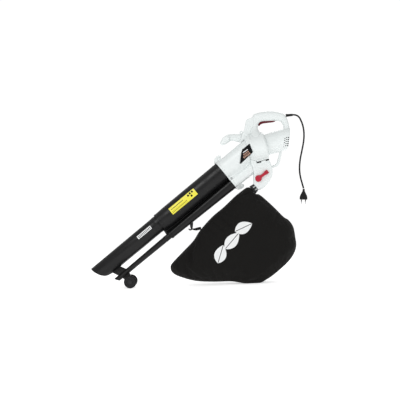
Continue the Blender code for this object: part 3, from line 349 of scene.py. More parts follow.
def cut(piece, *tools):
    """Cut the tools out of the piece, one after another, and use them up."""
    for tool in tools:
        step = piece.modifiers.new("boolean", "BOOLEAN")
        step.operation = "DIFFERENCE"
        step.solver = "EXACT"
        step.object = tool
        baked(piece)
        bpy.data.objects.remove(tool)


def prism(name, outline, y_low, y_high):
    """A flat outline in the side view, carried from one Y to another."""
    low = [point + ACROSS * y_low for point in outline]
    high = [point + ACROSS * y_high for point in outline]
    return raw_object(name, skin([low, high]))


def block(name, place, low, high):
    """A box between two corners given as (first, second, Y)."""
    corners = [(low[0], low[1]), (high[0], low[1]), (high[0], high[1]), (low[0], high[1])]
    return prism(name, drawn(place, corners), low[2], high[2])


def solid(name, rings, closed=False):
    return raw_object(name, skin(rings, closed))


def bar(name, start, end, radius, count=32):
    """A round bar between two points."""
    axis = (end - start).normalized()
    return solid(name, [circle(start, axis, radius, count), circle(end, axis, radius, count)])


def rod(name, centre, radius, y_low, y_high, count=48):
    """A round bar across the machine."""
    return bar(name, centre + ACROSS * y_low, centre + ACROSS * y_high, radius, count)


def smooth_path(points, steps):
    """Points read from a Catmull-Rom curve through the given ones."""
    path = []
    last = len(points) - 1
    for i in range(last):
        before = points[max(i - 1, 0)]
        here = points[i]
        there = points[i + 1]
        after = points[min(i + 2, last)]
        for k in range(steps):
            t = k / steps
            path.append(0.5 * (2.0 * here + (there - before) * t
                               + (2.0 * before - 5.0 * here + 4.0 * there - after) * t ** 2
                               + (3.0 * here - before - 3.0 * there + after) * t ** 3))
    path.append(points[-1].copy())
    return path


def heading(path, i):
    """The direction of a line of points at point i."""
    return (path[min(i + 1, len(path) - 1)] - path[max(i - 1, 0)]).normalized()


def ribbon(name, edges, half_widths, power=2.6, count=48, shrink=0.0, steps=6):
    """A rounded solid between two smooth edge lines in the mid plane.

    half_widths is one value, or one for each pair of edge points."""
    if isinstance(half_widths, float):
        half_widths = [half_widths] * len(edges)
    tops = smooth_path([in_plane(*outer) for outer, inner in edges], steps)
    lows = smooth_path([in_plane(*inner) for outer, inner in edges], steps)
    rings = []
    for i, (top, low) in enumerate(zip(tops, lows)):
        side = (top - low).normalized()
        half = (top - low).length / 2.0 - shrink
        wide = float(np.interp(i / steps, range(len(edges)), half_widths)) - shrink
        rings.append(oval((top + low) / 2.0, side, half, wide, power, count))
    return solid(name, rings)


def softened(piece, voxel, rounds, keep=1.0):
    """Remesh the piece finely, soften its edges and joints, keep this share of its faces."""
    remesh = piece.modifiers.new("remesh", "REMESH")
    remesh.mode = "VOXEL"
    remesh.voxel_size = voxel
    if rounds:
        soft = piece.modifiers.new("soften", "SMOOTH")
        soft.factor = 0.5
        soft.iterations = rounds
    if keep < 1.0:
        thin = piece.modifiers.new("thin", "DECIMATE")
        thin.ratio = keep
    return baked(piece)


def fused(name, parts, voxel, rounds, keep=1.0):
    """Overlapping closed shapes grown into one body with soft joints."""
    bm = bmesh.new()
    for part in parts:
        bm.from_mesh(part.data)
        bpy.data.objects.remove(part)
    return softened(raw_object(name, bm), voxel, rounds, keep)


def moulding(name, node, look, voxel, rounds, keep, body="blower"):
    """A CAD shell made into a moulding with soft edges."""
    piece = softened(linked(name, NODES[node].data.copy()), voxel, rounds, keep)
    shown(piece, look, body, (node,), 60.0)
    return piece


# ---------------------------------------------------------------- cord and plug
CORD_DIAMETER = 0.008
CORD_ROUTE = [(0.5003, 0.7880), (0.5091, 0.7873), (0.5175, 0.7843), (0.5248, 0.7793),
              (0.5306, 0.7726), (0.5334, 0.7673), (0.5373, 0.7580), (0.5409, 0.7480),
              (0.5440, 0.7370), (0.5464, 0.7250), (0.5480, 0.7110), (0.5484, 0.6950),
              (0.5474, 0.6770), (0.5435, 0.6510), (0.5345, 0.6130), (0.5265, 0.5800),
              (0.5215, 0.5470), (0.5205, 0.5170), (0.5235, 0.4900), (0.5295, 0.4630),
              (0.5358, 0.4370)]
CORD_EXIT = in_plane(0.4680, 0.7862)
CORD_EXIT_DIR = Vector((0.9985, 0.0, 0.0548)).normalized()
BOOT_LENGTH = 0.032
PLUG_TOP = in_plane(0.5362, 0.4350)
PLUG_DIR = Vector((-0.0580, 0.0, -0.9983))


def build_boot():
    """A ribbed strain relief that tapers onto the cord."""
    side = square_to(CORD_EXIT_DIR)
    profile = [(-0.0022, 0.0074), (0.0020, 0.0074), (0.0032, 0.0066)]
    ribs = 6
    for i in range(ribs):
        start = 0.0046 + i * 0.0042
        radius = 0.0070 - 0.0014 * start / BOOT_LENGTH
        profile += [(start, radius - 0.0008), (start + 0.0006, radius),
                    (start + 0.0025, radius - 0.0001), (start + 0.0031, radius - 0.0009)]
    profile += [(BOOT_LENGTH - 0.0015, 0.0050), (BOOT_LENGTH, 0.0044)]
    rings = [oval(CORD_EXIT + CORD_EXIT_DIR * along, side, radius, radius, 2.0, 40)
             for along, radius in profile]
    boot = solid("cord_boot", rings)
    shown(boot, RUBBER, nodes=("strain_relief",))
    return boot


def build_plug():
    """A flat moulded mains plug with a waisted grip and half-sleeved pins; returns its pieces."""
    side = square_to(PLUG_DIR)
    rings = []
    for along, high, wide in ((0.0004, 0.0049, 0.0049), (0.004, 0.0052, 0.0052),
                              (0.0046, 0.0047, 0.0047), (0.0066, 0.0047, 0.0047),
                              (0.0072, 0.0056, 0.0054), (0.0092, 0.0060, 0.0056),
                              (0.0098, 0.0053, 0.0051), (0.0118, 0.0056, 0.0052),
                              (0.0126, 0.0069, 0.0060), (0.018, 0.0090, 0.0066),
                              (0.024, 0.0122, 0.0068), (0.031, 0.0156, 0.0069),
                              (0.037, 0.0176, 0.0070), (0.043, 0.0184, 0.0070),
                              (0.0475, 0.0183, 0.0069), (0.0505, 0.0178, 0.0066),
                              (0.0518, 0.0168, 0.0058)):
        rings.append(oval(PLUG_TOP + PLUG_DIR * along, side, high, wide, 2.6, 56))
    body = solid("mains_plug", rings)
    shown(body, RUBBER, nodes=("plug_body",))
    pieces = [body]
    for name, node, offset in (("plug_prong_front", "plug_pin_front", -0.0095),
                               ("plug_prong_rear", "plug_pin_rear", 0.0095)):
        start = PLUG_TOP + PLUG_DIR * 0.0521 + side * offset
        prong = solid(name, [circle(start + PLUG_DIR * along, PLUG_DIR, radius, 24)
                             for along, radius in ((0.0, 0.0020), (0.0175, 0.0020),
                                                   (0.0187, 0.0016), (0.0191, 0.0009))])
        shown(prong, STEEL, nodes=(node,))
        sleeve = solid(name + "_sleeve", [circle(start + PLUG_DIR * along, PLUG_DIR, radius, 24)
                                          for along, radius in ((0.0, 0.0022), (0.0088, 0.0022),
                                                                (0.0088, 0.0020), (0.0, 0.0020))],
                       True)
        shown(sleeve, RUBBER)
        pieces += [prong, sleeve]
    return pieces


def build_cord():
    curve = bpy.data.curves.new("mains_cord", "CURVE")
    curve.dimensions = "3D"
    curve.bevel_depth = CORD_DIAMETER / 2.0
    curve.bevel_resolution = 5
    curve.use_fill_caps = True
    path = smooth_path(drawn(in_plane, CORD_ROUTE), 8)
    spline = curve.splines.new("POLY")
    spline.points.add(len(path) - 1)
    for point, place in zip(spline.points, path):
        point.co = (*place, 1.0)
    curve.materials.append(RUBBER)
    cord = linked("mains_cord", curve)
    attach(cord, "blower")
    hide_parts("power_cord")
    on_cord = [build_boot()] + build_plug()


build_cord()


# ---------------------------------------------------------------- black tubes
LOWER_RADIUS = 0.0405
LOWER_AXIS_V = LOWER_RADIUS
UPPER_AXIS_V = 0.0446
UPPER_RADIUS = 0.050
TUBE_WALL = 0.0025
WAIST_HALF_WIDTH = 0.006
COLLAR_U = 0.390
JOINT_U = 0.775


def tube_rings(stations, power=2.0, count=72):
    """Rings on the tube line: stations are (u, v, half height, half width)."""
    return [oval(on_tube(u, v), TUBE_DOWN, high, wide, power, count)
            for u, v, high, wide in stations]


def build_lower_suction_tube():
    """A round tube with two stop collars and a scooped mouth."""
    r = LOWER_RADIUS
    profile = [(-0.004, r), (0.3555, r), (0.3562, r + 0.0008), (0.3590, r + 0.0008),
               (0.3597, r), (0.3700, r), (0.3707, r + 0.0010), (0.3830, r + 0.0010),
               (0.3837, r), (0.4280, r), (0.4280, r - TUBE_WALL), (-0.004, r - TUBE_WALL)]
    rings = tube_rings([(u, LOWER_AXIS_V, size, size) for u, size in profile], count=96)
    tube = raw_object("suction_tube_lower", skin(rings, closed=True))
    curve = [(0.0, -0.001), (0.0015, 0.009), (0.0038, 0.018), (0.0068, 0.027), (0.0106, 0.0359),
             (0.0155, 0.0470), (0.0215, 0.0565), (0.0285, 0.0652), (0.036, 0.0715),
             (0.044, 0.0755), (0.052, 0.0775), (0.063, 0.0797), (0.075, 0.082)]
    around = [(0.075, 0.100), (-0.060, 0.100), (-0.060, -0.020), (-0.001, -0.020)]
    cut(tube, prism("mouth", drawn(on_tube, curve + around), -0.06, 0.06))
    bevelled(tube, 0.0006, 2, SOFT_EDGE)
    shown(tube, BLACK, nodes=("lower_suction_tube",))


def build_lower_blow_tube():
    """A slim oval tube, cut off at a slant."""
    stations = [(0.030, 0.1188, 0.0117, 0.0199), (0.360, 0.1183, 0.0145, 0.0228),
                (0.3605, 0.1183, 0.0153, 0.0236), (0.3700, 0.1183, 0.0153, 0.0236),
                (0.3705, 0.1183, 0.0147, 0.0230), (0.4145, 0.1183, 0.01475, 0.0230)]
    inner = [(u, v, high - TUBE_WALL, wide - TUBE_WALL) for u, v, high, wide in
             (stations[-1], stations[0])]
    tube = raw_object("blow_tube_lower", skin(tube_rings(stations + inner, 2.6), closed=True))
    tip = ((0.0, 0.100), (0.050, 0.100), (0.073, 0.136), (0.0, 0.136))
    cut(tube, prism("tip", drawn(on_tube, tip), -0.04, 0.04))
    bevelled(tube, 0.0006, 2, SOFT_EDGE)
    shown(tube, BLACK, nodes=("lower_blow_tube",))


def twin_ring(u, suction, blow, waist, grow, power=2.8, leave=2.55, meet=0.62):
    """One outline round both channels with soft hollows between them.

    suction is (v, half height, half width), blow the same, waist the half width between."""
    sv, sh, sw = suction
    bv, bh, bw = blow
    sh, sw, bh, bw, waist = (value + grow for value in (sh, sw, bh, bw, waist))
    half = []
    for i in range(41):
        turn = leave * i / 40
        half.append((sv - sh * math.cos(turn), sw * math.sin(turn)))
    first = half[-1]

    def lower(turn):
        c = math.cos(turn)
        s = math.sin(turn)
        return (bv - math.copysign(abs(c) ** (2.0 / power), c) * bh,
                math.copysign(abs(s) ** (2.0 / power), s) * bw)

    last = lower(meet)
    pull = (waist - 0.125 * (first[1] + last[1])) / 0.75
    for i in range(1, 12):
        t = i / 12
        away = 1.0 - t
        v = (away ** 3 * first[0] + 3 * away * away * t * (first[0] * 0.6 + last[0] * 0.4)
             + 3 * away * t * t * (first[0] * 0.4 + last[0] * 0.6) + t ** 3 * last[0])
        y = away ** 3 * first[1] + 3 * away * t * pull + t ** 3 * last[1]
        half.append((v, y))
    for i in range(25):
        half.append(lower(meet + (math.pi - meet) * i / 24))
    mirrored = [(v, -y) for v, y in reversed(half[1:-1])]
    return [on_tube(u, v, y) for v, y in half + mirrored]


def upper_sizes(u):
    """The upper tube's two channels at u, flared behind the collar."""
    flare = min((u - COLLAR_U) / 0.060, 1.0)
    flare = flare * flare * (3.0 - 2.0 * flare)
    slope = (u - COLLAR_U) / (JOINT_U - COLLAR_U)
    radius = 0.0455 + 0.0045 * flare
    return ((0.0415 + 0.0031 * flare, radius, radius),
            (0.1185 + 0.0015 * slope, 0.0185 + 0.0065 * slope, 0.027 + 0.007 * slope))


def build_upper_tube():
    """The twin-channel tube with its collar, its end bead and two catches for the latches."""
    marks = [(COLLAR_U, -0.0006), (COLLAR_U + 0.0006, 0.0008), (COLLAR_U + 0.0100, 0.0010),
             (COLLAR_U + 0.0108, 0.0)]
    marks += [(COLLAR_U + 0.0108 + 0.0492 * i / 6, 0.0) for i in range(1, 7)]
    marks += [(0.450 + 0.302 * i / 6, 0.0) for i in range(1, 7)]
    marks += [(0.7527, 0.0007), (0.7590, 0.0007), (0.7597, 0.0), (0.7740, 0.0), (0.7746, -0.0006)]
    rings = [twin_ring(u, *upper_sizes(u), WAIST_HALF_WIDTH, grow) for u, grow in marks]
    for u in (COLLAR_U, COLLAR_U + 0.014):
        rings.insert(0, twin_ring(u, *upper_sizes(COLLAR_U), WAIST_HALF_WIDTH, -0.0028))
    tube = raw_object("suction_tube_upper", skin(rings))
    shown(tube, BLACK, nodes=("upper_tube",))
    for name, v in (("catch_upper", -0.0076), ("catch_lower", 0.1470)):
        catch = block(name, on_tube, (0.7713, v - 0.0020, -0.0068), (0.7744, v + 0.0020, 0.0068))
        bevelled(catch, 0.0006)
        shown(catch, BLACK)


def build_brackets():
    """Ribbed spacers between the tubes, let into their walls."""
    for name, node, wide, outline, ribs in (
            ("bracket_lower", "tube_bracket_lower", 0.0092,
             ((0.0664, 0.0780), (0.1133, 0.0780), (0.1291, 0.1100), (0.0807, 0.1100)),
             ((0.0790, 0.0845), (0.0930, 0.0985), (0.1070, 0.1125))),
            ("bracket_upper", "tube_bracket_upper", 0.0112,
             ((0.3812, 0.0780), (0.3896, 0.0780), (0.3896, 0.1070), (0.3782, 0.1070)),
             ((0.3820, 0.3880),))):
        web = prism(name, drawn(on_tube, outline), -wide, wide)
        shown(bevelled(web, 0.0008, 2), BLACK, nodes=(node,))
        for start, end in ribs:
            rib = block(name + "_rib_%d" % round(start * 1000.0), on_tube,
                        (start, 0.0850, -wide - 0.003), (end, 0.1020, wide + 0.003))
            shown(bevelled(rib, 0.0012, 2), BLACK)
    saddle = block("wheel_saddle", on_tube, (0.0890, 0.1270, -0.0125), (0.1275, 0.1350, 0.0125))
    shown(bevelled(saddle, 0.0012, 2), BLACK)


build_lower_suction_tube()
build_lower_blow_tube()
build_upper_tube()
build_brackets()


# ---------------------------------------------------------------- white duct and fan casing
COVER_FRONT = -0.100
CASING_FRONT = -0.076
CASING_HIGH = 0.068
CASING_WIDE = 0.082
OUTLET_N = -0.069
DUCT_BORE = 0.0462
DUCT_WAIST = 0.024
DUCT_SCREW = in_plane(0.195, 0.498)


def motor_rings(profile, count=96):
    """Rings on the motor line: the profile holds (a, half height, half width)."""
    return [oval(on_motor(a, 0.0), MOTOR_UP, high, wide, 2.0, count) for a, high, wide in profile]


def casing_drum(name, start, end, gap):
    """A cutter that leaves a gap around the fan casing."""
    return solid(name, motor_rings([(a, CASING_HIGH + gap, CASING_WIDE + gap)
                                    for a in (start, end)]))


def duct_ring(u, grow):
    """The duct's outline at u, which widens towards the fan."""
    wide = float(np.interp(u, (0.775, 0.850, 0.900, 0.990), (0.050, 0.0512, 0.057, 0.071)))
    mix = float(np.interp(u, (0.775, 0.960), (0.0, 1.0)))
    blow = (0.120 + 0.0035 * mix, 0.025 + 0.0005 * mix, 0.034 + 0.001 * mix)
    return twin_ring(u, (UPPER_AXIS_V, UPPER_RADIUS, wide), blow, DUCT_WAIST, grow)


def build_duct():
    """The white twin duct between tubes and fan, with ears that carry the latch pins."""
    marks = [(JOINT_U, -0.0008), (JOINT_U + 0.0006, -0.0001), (0.7842, 0.0), (0.7846, -0.0008),
             (0.7858, -0.0008), (0.7862, 0.0)]
    marks += [(0.7862 + 0.2038 * i / 14, 0.0) for i in range(1, 15)]
    duct = solid("inlet_duct_shell", [duct_ring(u, grow) for u, grow in marks])
    suction_bore = tube_rings([(u, UPPER_AXIS_V, DUCT_BORE, DUCT_BORE) for u in (0.755, 1.050)])
    blow_bore = tube_rings(((0.755, 0.120, 0.022, 0.031), (0.985, 0.124, 0.018, 0.031)), 2.8, 48)
    fan_side = block("fan_side", on_motor, (-0.1003, -0.150, -0.12), (0.150, 0.120, 0.12))
    adapter_side = block("adapter_side", in_plane, (0.300, 0.440, -0.06), (0.400, 0.600, 0.06))
    screw_seat = bar("screw_seat", DUCT_SCREW - ACROSS * 0.060, DUCT_SCREW - ACROSS * 0.0232,
                     0.0042)
    cut(duct, solid("bore", suction_bore), solid("blow_bore", blow_bore), fan_side, adapter_side,
        screw_seat)
    bevelled(duct, 0.0009, 2, SOFT_EDGE)
    shown(duct, WHITE, nodes=("inlet_duct",))
    for side, base in ((-1.0, -0.0054), (1.0, 0.145)):
        for hand in (-1.0, 1.0):
            wide = sorted((hand * 0.0075, hand * 0.0115))
            outline = [(0.7930, -0.0030), (0.7930, 0.0080), (0.7955, 0.0118), (0.8000, 0.0130),
                       (0.8045, 0.0118), (0.8070, 0.0080), (0.8110, -0.0030)]
            ear = prism("latch_ear_%s_%s" % ("top" if side < 0 else "low",
                                             "left" if hand < 0 else "right"),
                        [on_tube(u, base + side * rise) for u, rise in outline], *wide)
            bevelled(ear, 0.0007, 2)
            shown(ear, WHITE)


def build_duct_screw():
    """A recessed cross-head screw that holds the two channels together."""
    axis = ACROSS * -1.0
    head = solid("duct_fixing", [circle(DUCT_SCREW + axis * y, axis, radius, 32) for y, radius in
                                 ((0.0240, 0.0033), (0.0246, 0.0036), (0.0262, 0.0036),
                                  (0.0268, 0.0030))])
    for turn in (0.3, 0.3 + math.pi / 2.0):
        along, square = turned(turn)
        cut(head, block("cross", lambda p, q: DUCT_SCREW + along * p + square * q,
                        (-0.0022, -0.0004, -0.0290), (0.0022, 0.0004, -0.0258)))
    shown(head, STEEL, nodes=("duct_screw",))


CREST = [(0.2415, 0.6645), (0.2520, 0.7000), (0.2650, 0.7260), (0.2720, 0.7550), (0.2755, 0.7700),
         (0.2800, 0.7755), (0.3160, 0.7872), (0.3120, 0.7520), (0.3050, 0.7225), (0.3030, 0.6900),
         (0.2835, 0.6900), (0.2795, 0.6930), (0.2715, 0.6910), (0.2655, 0.6812)]
COVER_PROFILE = [(-0.100, 0.051, 0.063), (-0.0985, 0.0550, 0.0666), (-0.0945, 0.0590, 0.0705),
                 (-0.084, 0.0665, 0.0790), (-0.0785, 0.0678, 0.0815), (-0.0763, 0.068, 0.082),
                 (-0.0690, 0.068, 0.082)]
HANDLE_EDGES = [((0.2900, 0.690), (0.3340, 0.690)), ((0.2960, 0.720), (0.3312, 0.716)),
                ((0.3040, 0.750), (0.3308, 0.740)), ((0.3062, 0.778), (0.3350, 0.751)),
                ((0.3110, 0.7965), (0.3425, 0.758)), ((0.3330, 0.8045), (0.3530, 0.7615)),
                ((0.3660, 0.8087), (0.3720, 0.762)), ((0.4020, 0.8085), (0.4000, 0.762)),
                ((0.4310, 0.8030), (0.4230, 0.7615)), ((0.4550, 0.7930), (0.4380, 0.758)),
                ((0.4700, 0.7720), (0.4470, 0.747)), ((0.4775, 0.7450), (0.4520, 0.735)),
                ((0.4812, 0.7150), (0.4500, 0.715)), ((0.4790, 0.6850), (0.4420, 0.690))]
SHOULDER_EDGES = [((0.2905, 0.6690), (0.3530, 0.6830)), ((0.2903, 0.6850), (0.3500, 0.6980)),
                  ((0.2912, 0.7000), (0.3430, 0.7085)), ((0.2945, 0.7150), (0.3350, 0.7170)),
                  ((0.2987, 0.7300), (0.3308, 0.7290)), ((0.3030, 0.7450), (0.3300, 0.7420)),
                  ((0.3055, 0.7600), (0.3335, 0.7500))]
SHOULDER_WIDTHS = [0.0700, 0.0600, 0.0490, 0.0375, 0.0275, 0.0215, 0.0190]
HANDLE_HALF_WIDTH = 0.019
COVER_GAP = 0.0002


def build_fan_cover():
    """The fan's front cover with the crest that rises to the handle."""
    outer = solid("cover_outer", motor_rings(COVER_PROFILE))
    crest = bevelled(prism("crest", drawn(in_plane, CREST), -0.0193, 0.0193), 0.003)
    cover = fused("fan_cover_shell", [outer, crest], 0.0014, 5)
    inner = solid("cover_inner", motor_rings(
        [(-0.110, 0.046, 0.046), (-0.0972, 0.046, 0.046), (-0.094, 0.055, 0.066),
         (-0.084, 0.0632, 0.0757), (-0.0755, 0.0650, 0.0790), (-0.0600, 0.0650, 0.0790)]))
    casing = casing_drum("casing_side", CASING_FRONT - 0.0001, 0.0, 0.0004)
    cut(cover, inner, casing,
        ribbon("handle_space", HANDLE_EDGES[:6], HANDLE_HALF_WIDTH, shrink=-COVER_GAP),
        ribbon("shoulder_space", SHOULDER_EDGES, SHOULDER_WIDTHS, shrink=-COVER_GAP))
    shown(cover, WHITE, nodes=("fan_cover_front",), angle=SOFT_EDGE)


def build_fan_casing():
    """The casing round the fan, open in front, with its outlet flange below."""
    outer = solid("casing_outer", motor_rings(
        [(-0.0850, CASING_HIGH, CASING_WIDE), (-0.022, CASING_HIGH, CASING_WIDE),
         (-0.0165, 0.0672, 0.0812), (-0.0130, 0.0655, 0.0795), (-0.0100, 0.0620, 0.0760),
         (-0.008, 0.0580, 0.0720)]))
    flange = block("flange", on_motor, (-0.072, OUTLET_N, -0.034), (-0.012, -0.0560, 0.034))
    bevelled(flange, 0.003)
    casing = fused("fan_casing_shell", [outer, flange], 0.0014, 5)
    inner = solid("casing_inner", motor_rings(
        [(-0.100, 0.0650, 0.0790), (-0.024, 0.0650, 0.0790), (-0.0170, 0.0630, 0.0770),
         (-0.0115, 0.0560, 0.0700)]))
    passage = block("passage", on_motor, (-0.066, -0.080, -0.028), (-0.018, -0.040, 0.028))
    seat = bar("bearing_seat", on_motor(-0.020, 0.0), on_motor(0.000, 0.0), 0.0143)
    cover_side = block("cover_side", on_motor, (-0.150, -0.150, -0.12),
                       (CASING_FRONT + 0.0001, 0.150, 0.12))
    cut(casing, inner, passage, seat, cover_side)
    shown(casing, WHITE, nodes=("fan_casing",), angle=SOFT_EDGE)


# ---------------------------------------------------------------- motor housing and handle
BARREL_RADIUS = 0.051
HOUSING_WALL = 0.003
REAR_A = 0.106
REAR_SLOPE = 0.39


def rear_ring(radius, back_off):
    """A ring that leans back like the barrel's rear face and stands this far before it."""
    ring = []
    for point in oval(on_motor(0.0, 0.0), MOTOR_UP, radius, radius, 2.0, 96):
        rise = (point - MOTOR_CENTRE).dot(MOTOR_UP)
        ring.append(point + MOTOR_DIR * (REAR_A + REAR_SLOPE * rise - back_off))
    return ring


def barrel_rings(radius, front, inset):
    """Rings of the motor barrel, with its rounded rear face leaning back."""
    rings = [oval(on_motor(front, 0.0), MOTOR_UP, radius, radius, 2.0, 96)]
    for back_off, smaller in ((0.0110, 0.0), (0.0060, 0.0008), (0.0025, 0.0030), (0.0006, 0.0060),
                              (0.0, 0.0100)):
        rings.append(rear_ring(radius - smaller, back_off + inset))
    return rings


def vent_slots():
    """Three columns of vents, the middle one half a step out of line."""
    slots = []
    for x, z, half_wide, half_high in ((0.4479, 0.6365, 0.0028, 0.0021),
                                       (0.4564, 0.6412, 0.0028, 0.0021),
                                       (0.4653, 0.6412, 0.0036, 0.0029)):
        for i in range(5):
            middle = in_plane(x + 0.0012 * i, z + 0.0094 * i)
            corners = [middle + in_plane(p * half_wide, q * half_high) for p, q in
                       ((-1.0, -1.0), (1.0, -0.6), (1.0, 1.0), (-1.0, 0.6))]
            slots.append(prism("vent", corners, -0.070, 0.070))
    return slots


def build_vent_screen():
    """A dark foam ring behind the rearmost vents."""
    rings = [rear_ring(radius, back_off) for back_off, radius in
             ((0.0128, 0.0475), (0.0090, 0.0466), (0.0058, 0.0446), (0.0050, 0.0400),
              (0.0128, 0.0400))]
    shown(solid("vent_screen", rings, True), DARK, angle=SOFT_EDGE)


def build_housing():
    """Motor barrel, shoulder and handle as one hollow shell, split into two halves."""
    barrel = solid("barrel", barrel_rings(BARREL_RADIUS, -0.0150, 0.0))
    handle = ribbon("handle", HANDLE_EDGES, HANDLE_HALF_WIDTH)
    shoulder = ribbon("shoulder", SHOULDER_EDGES, SHOULDER_WIDTHS)
    shell = fused("housing", [barrel, handle, shoulder], 0.0015, 6)
    inner = barrel_rings(BARREL_RADIUS - HOUSING_WALL, -0.030, HOUSING_WALL)
    hollows = [solid("barrel_hollow", inner),
               ribbon("handle_hollow", HANDLE_EDGES, HANDLE_HALF_WIDTH, shrink=HOUSING_WALL),
               ribbon("shoulder_hollow", SHOULDER_EDGES, SHOULDER_WIDTHS,
                      shrink=HOUSING_WALL),
               casing_drum("casing_space", -0.140, -0.0077, 0.0003)]
    slot = ((0.3270, 0.738), (0.3560, 0.738), (0.3560, 0.748), (0.4180, 0.750), (0.4180, 0.770),
            (0.3270, 0.770))
    hollows.append(prism("trigger_slot", drawn(in_plane, slot), -0.0082, 0.0082))
    hollows.append(bar("boot_seat", CORD_EXIT - CORD_EXIT_DIR * 0.0030,
                       CORD_EXIT + CORD_EXIT_DIR * 0.030, 0.0079))
    hollows += vent_slots()
    cut(shell, *hollows)
    for name, node, hand in (("housing_half_left", "housing_left", -1.0),
                             ("housing_half_right", "housing_right", 1.0)):
        half = linked(name, shell.data.copy())
        low, high = sorted((-hand * 0.200, hand * 0.00015))
        cut(half, block("other_side", in_plane, (0.15, 0.50, low), (0.60, 0.90, high)))
        shown(half, WHITE, nodes=(node,), angle=SOFT_EDGE)
    bpy.data.objects.remove(shell)


# ---------------------------------------------------------------- adapter, brace, handles
SELECTOR_PIVOT = in_plane(0.3215, 0.4919)
LATCH_LOW_PIVOT = on_tube(0.800, 0.1536)
LATCH_LOW_SCALE = 0.86
STRAP_RING_SHIFT = Vector((-0.0012, 0.0, -0.0024))


def build_adapter():
    """The hollow elbow from the fan's outlet down to the bag."""
    top_n = OUTLET_N - 0.0053
    along_top = ((COVER_FRONT, -0.1124), (COVER_FRONT, -0.0450), (-0.0745, -0.0450),
                 (-0.0735, top_n), (-0.013, top_n))
    elbow = ((0.3845, 0.5560), (0.3895, 0.5370), (0.3902, 0.5190), (0.3875, 0.5030),
             (0.3820, 0.4900), (0.3740, 0.4770), (0.3630, 0.4640), (0.3500, 0.4510),
             (0.3370, 0.4420), (0.3195, 0.4365), (0.2975, 0.4652), (0.3003, 0.4800))
    outer = drawn(on_motor, along_top) + drawn(in_plane, elbow)
    adapter = bevelled(prism("bag_adapter_shell", outer, -0.036, 0.036), 0.0065, 5)
    hollow = [(0.3040, 0.5520), (0.3250, 0.5590), (0.3250, 0.5900), (0.3680, 0.5900),
              (0.3725, 0.5690), (0.3812, 0.5540), (0.3862, 0.5360), (0.3868, 0.5190),
              (0.3843, 0.5040), (0.3790, 0.4915), (0.3712, 0.4790), (0.3605, 0.4662),
              (0.3480, 0.4540), (0.3355, 0.4455), (0.3030, 0.4265), (0.2860, 0.4570),
              (0.3040, 0.4690)]
    inside = prism("inside", drawn(in_plane, hollow), -0.033, 0.033)
    port = block("port", in_plane, (0.283, 0.5220, -0.030), (0.310, 0.5500, 0.030))
    pivot = rod("pivot", SELECTOR_PIVOT, 0.0053, -0.060, 0.060)
    cover = solid("cover_space", motor_rings(
        [(a, high + COVER_GAP, wide + COVER_GAP) for a, high, wide in COVER_PROFILE]))
    cut(adapter, inside, port, pivot, cover)
    shown(adapter, WHITE, nodes=("bag_adapter",), angle=SOFT_EDGE)


def build_brace():
    """The thin stay from the motor down to the adapter."""
    edges = [((0.4405, 0.6147), (0.4270, 0.6118)), ((0.4375, 0.6000), (0.4245, 0.5985)),
             ((0.4310, 0.5760), (0.4180, 0.5790)), ((0.4240, 0.5560), (0.4135, 0.5650)),
             ((0.4150, 0.5465), (0.4080, 0.5590)), ((0.4020, 0.5415), (0.3995, 0.5540)),
             ((0.3900, 0.5390), (0.3880, 0.5500))]
    shown(ribbon("rear_stay", edges, 0.0085, 3.0, 40, steps=3), WHITE, nodes=("rear_brace",))


def build_front_handle():
    """A curved arm that ends in an oval grip lying across the machine."""
    edges = [((0.2620, 0.7055), (0.2480, 0.6660)), ((0.2280, 0.7085), (0.2255, 0.6715)),
             ((0.2020, 0.7090), (0.2080, 0.6765)), ((0.1830, 0.7060), (0.1945, 0.6730)),
             ((0.1690, 0.6980), (0.1830, 0.6660)), ((0.1575, 0.6860), (0.1710, 0.6600)),
             ((0.1510, 0.6760), (0.1600, 0.6570)), ((0.1480, 0.6700), (0.1530, 0.6585))]
    arm = ribbon("arm", edges, 0.014, 2.6)
    along, right = turned(math.radians(41.0))
    centre = in_plane(0.1725, 0.6815)
    rings = []
    for y, size in ((0.0500, 0.70), (0.0492, 0.83), (0.0475, 0.92), (0.0440, 0.98), (0.0400, 1.0),
                    (0.0100, 0.97), (-0.0100, 0.97), (-0.0400, 1.0), (-0.0440, 0.98),
                    (-0.0475, 0.92), (-0.0492, 0.83), (-0.0500, 0.70)):
        ring = []
        for i in range(48):
            angle = 2.0 * math.pi * i / 48
            ring.append(centre + along * (0.0225 * size * math.cos(angle))
                        + right * (0.0142 * size * math.sin(angle)) + ACROSS * y)
        rings.append(ring)
    handle = fused("front_grip", [arm, solid("grip", rings)], 0.0012, 6)
    seat = [(0.2409, 0.6600), (0.2409, 0.6645), (0.2514, 0.7001), (0.2644, 0.7262),
            (0.3000, 0.7262), (0.3000, 0.6600)]
    cut(handle, prism("seat", drawn(in_plane, seat), -0.03, 0.03))
    shown(handle, WHITE, nodes=("front_handle",), angle=SOFT_EDGE)


def build_outlet_clips():
    """Snap tabs that hold the adapter up against the gasket."""
    for side, hand in (("left", -1.0), ("right", 1.0)):
        low, high = sorted((hand * 0.0328, hand * 0.0354))
        outline = drawn(on_motor, ((-0.0530, -0.0790), (-0.0290, -0.0790), (-0.0310, -0.0697),
                                   (-0.0410, -0.0706), (-0.0510, -0.0697)))
        clip = bevelled(prism("outlet_clip_" + side, outline, low, high), 0.0009, 3)
        shown(clip, WHITE)


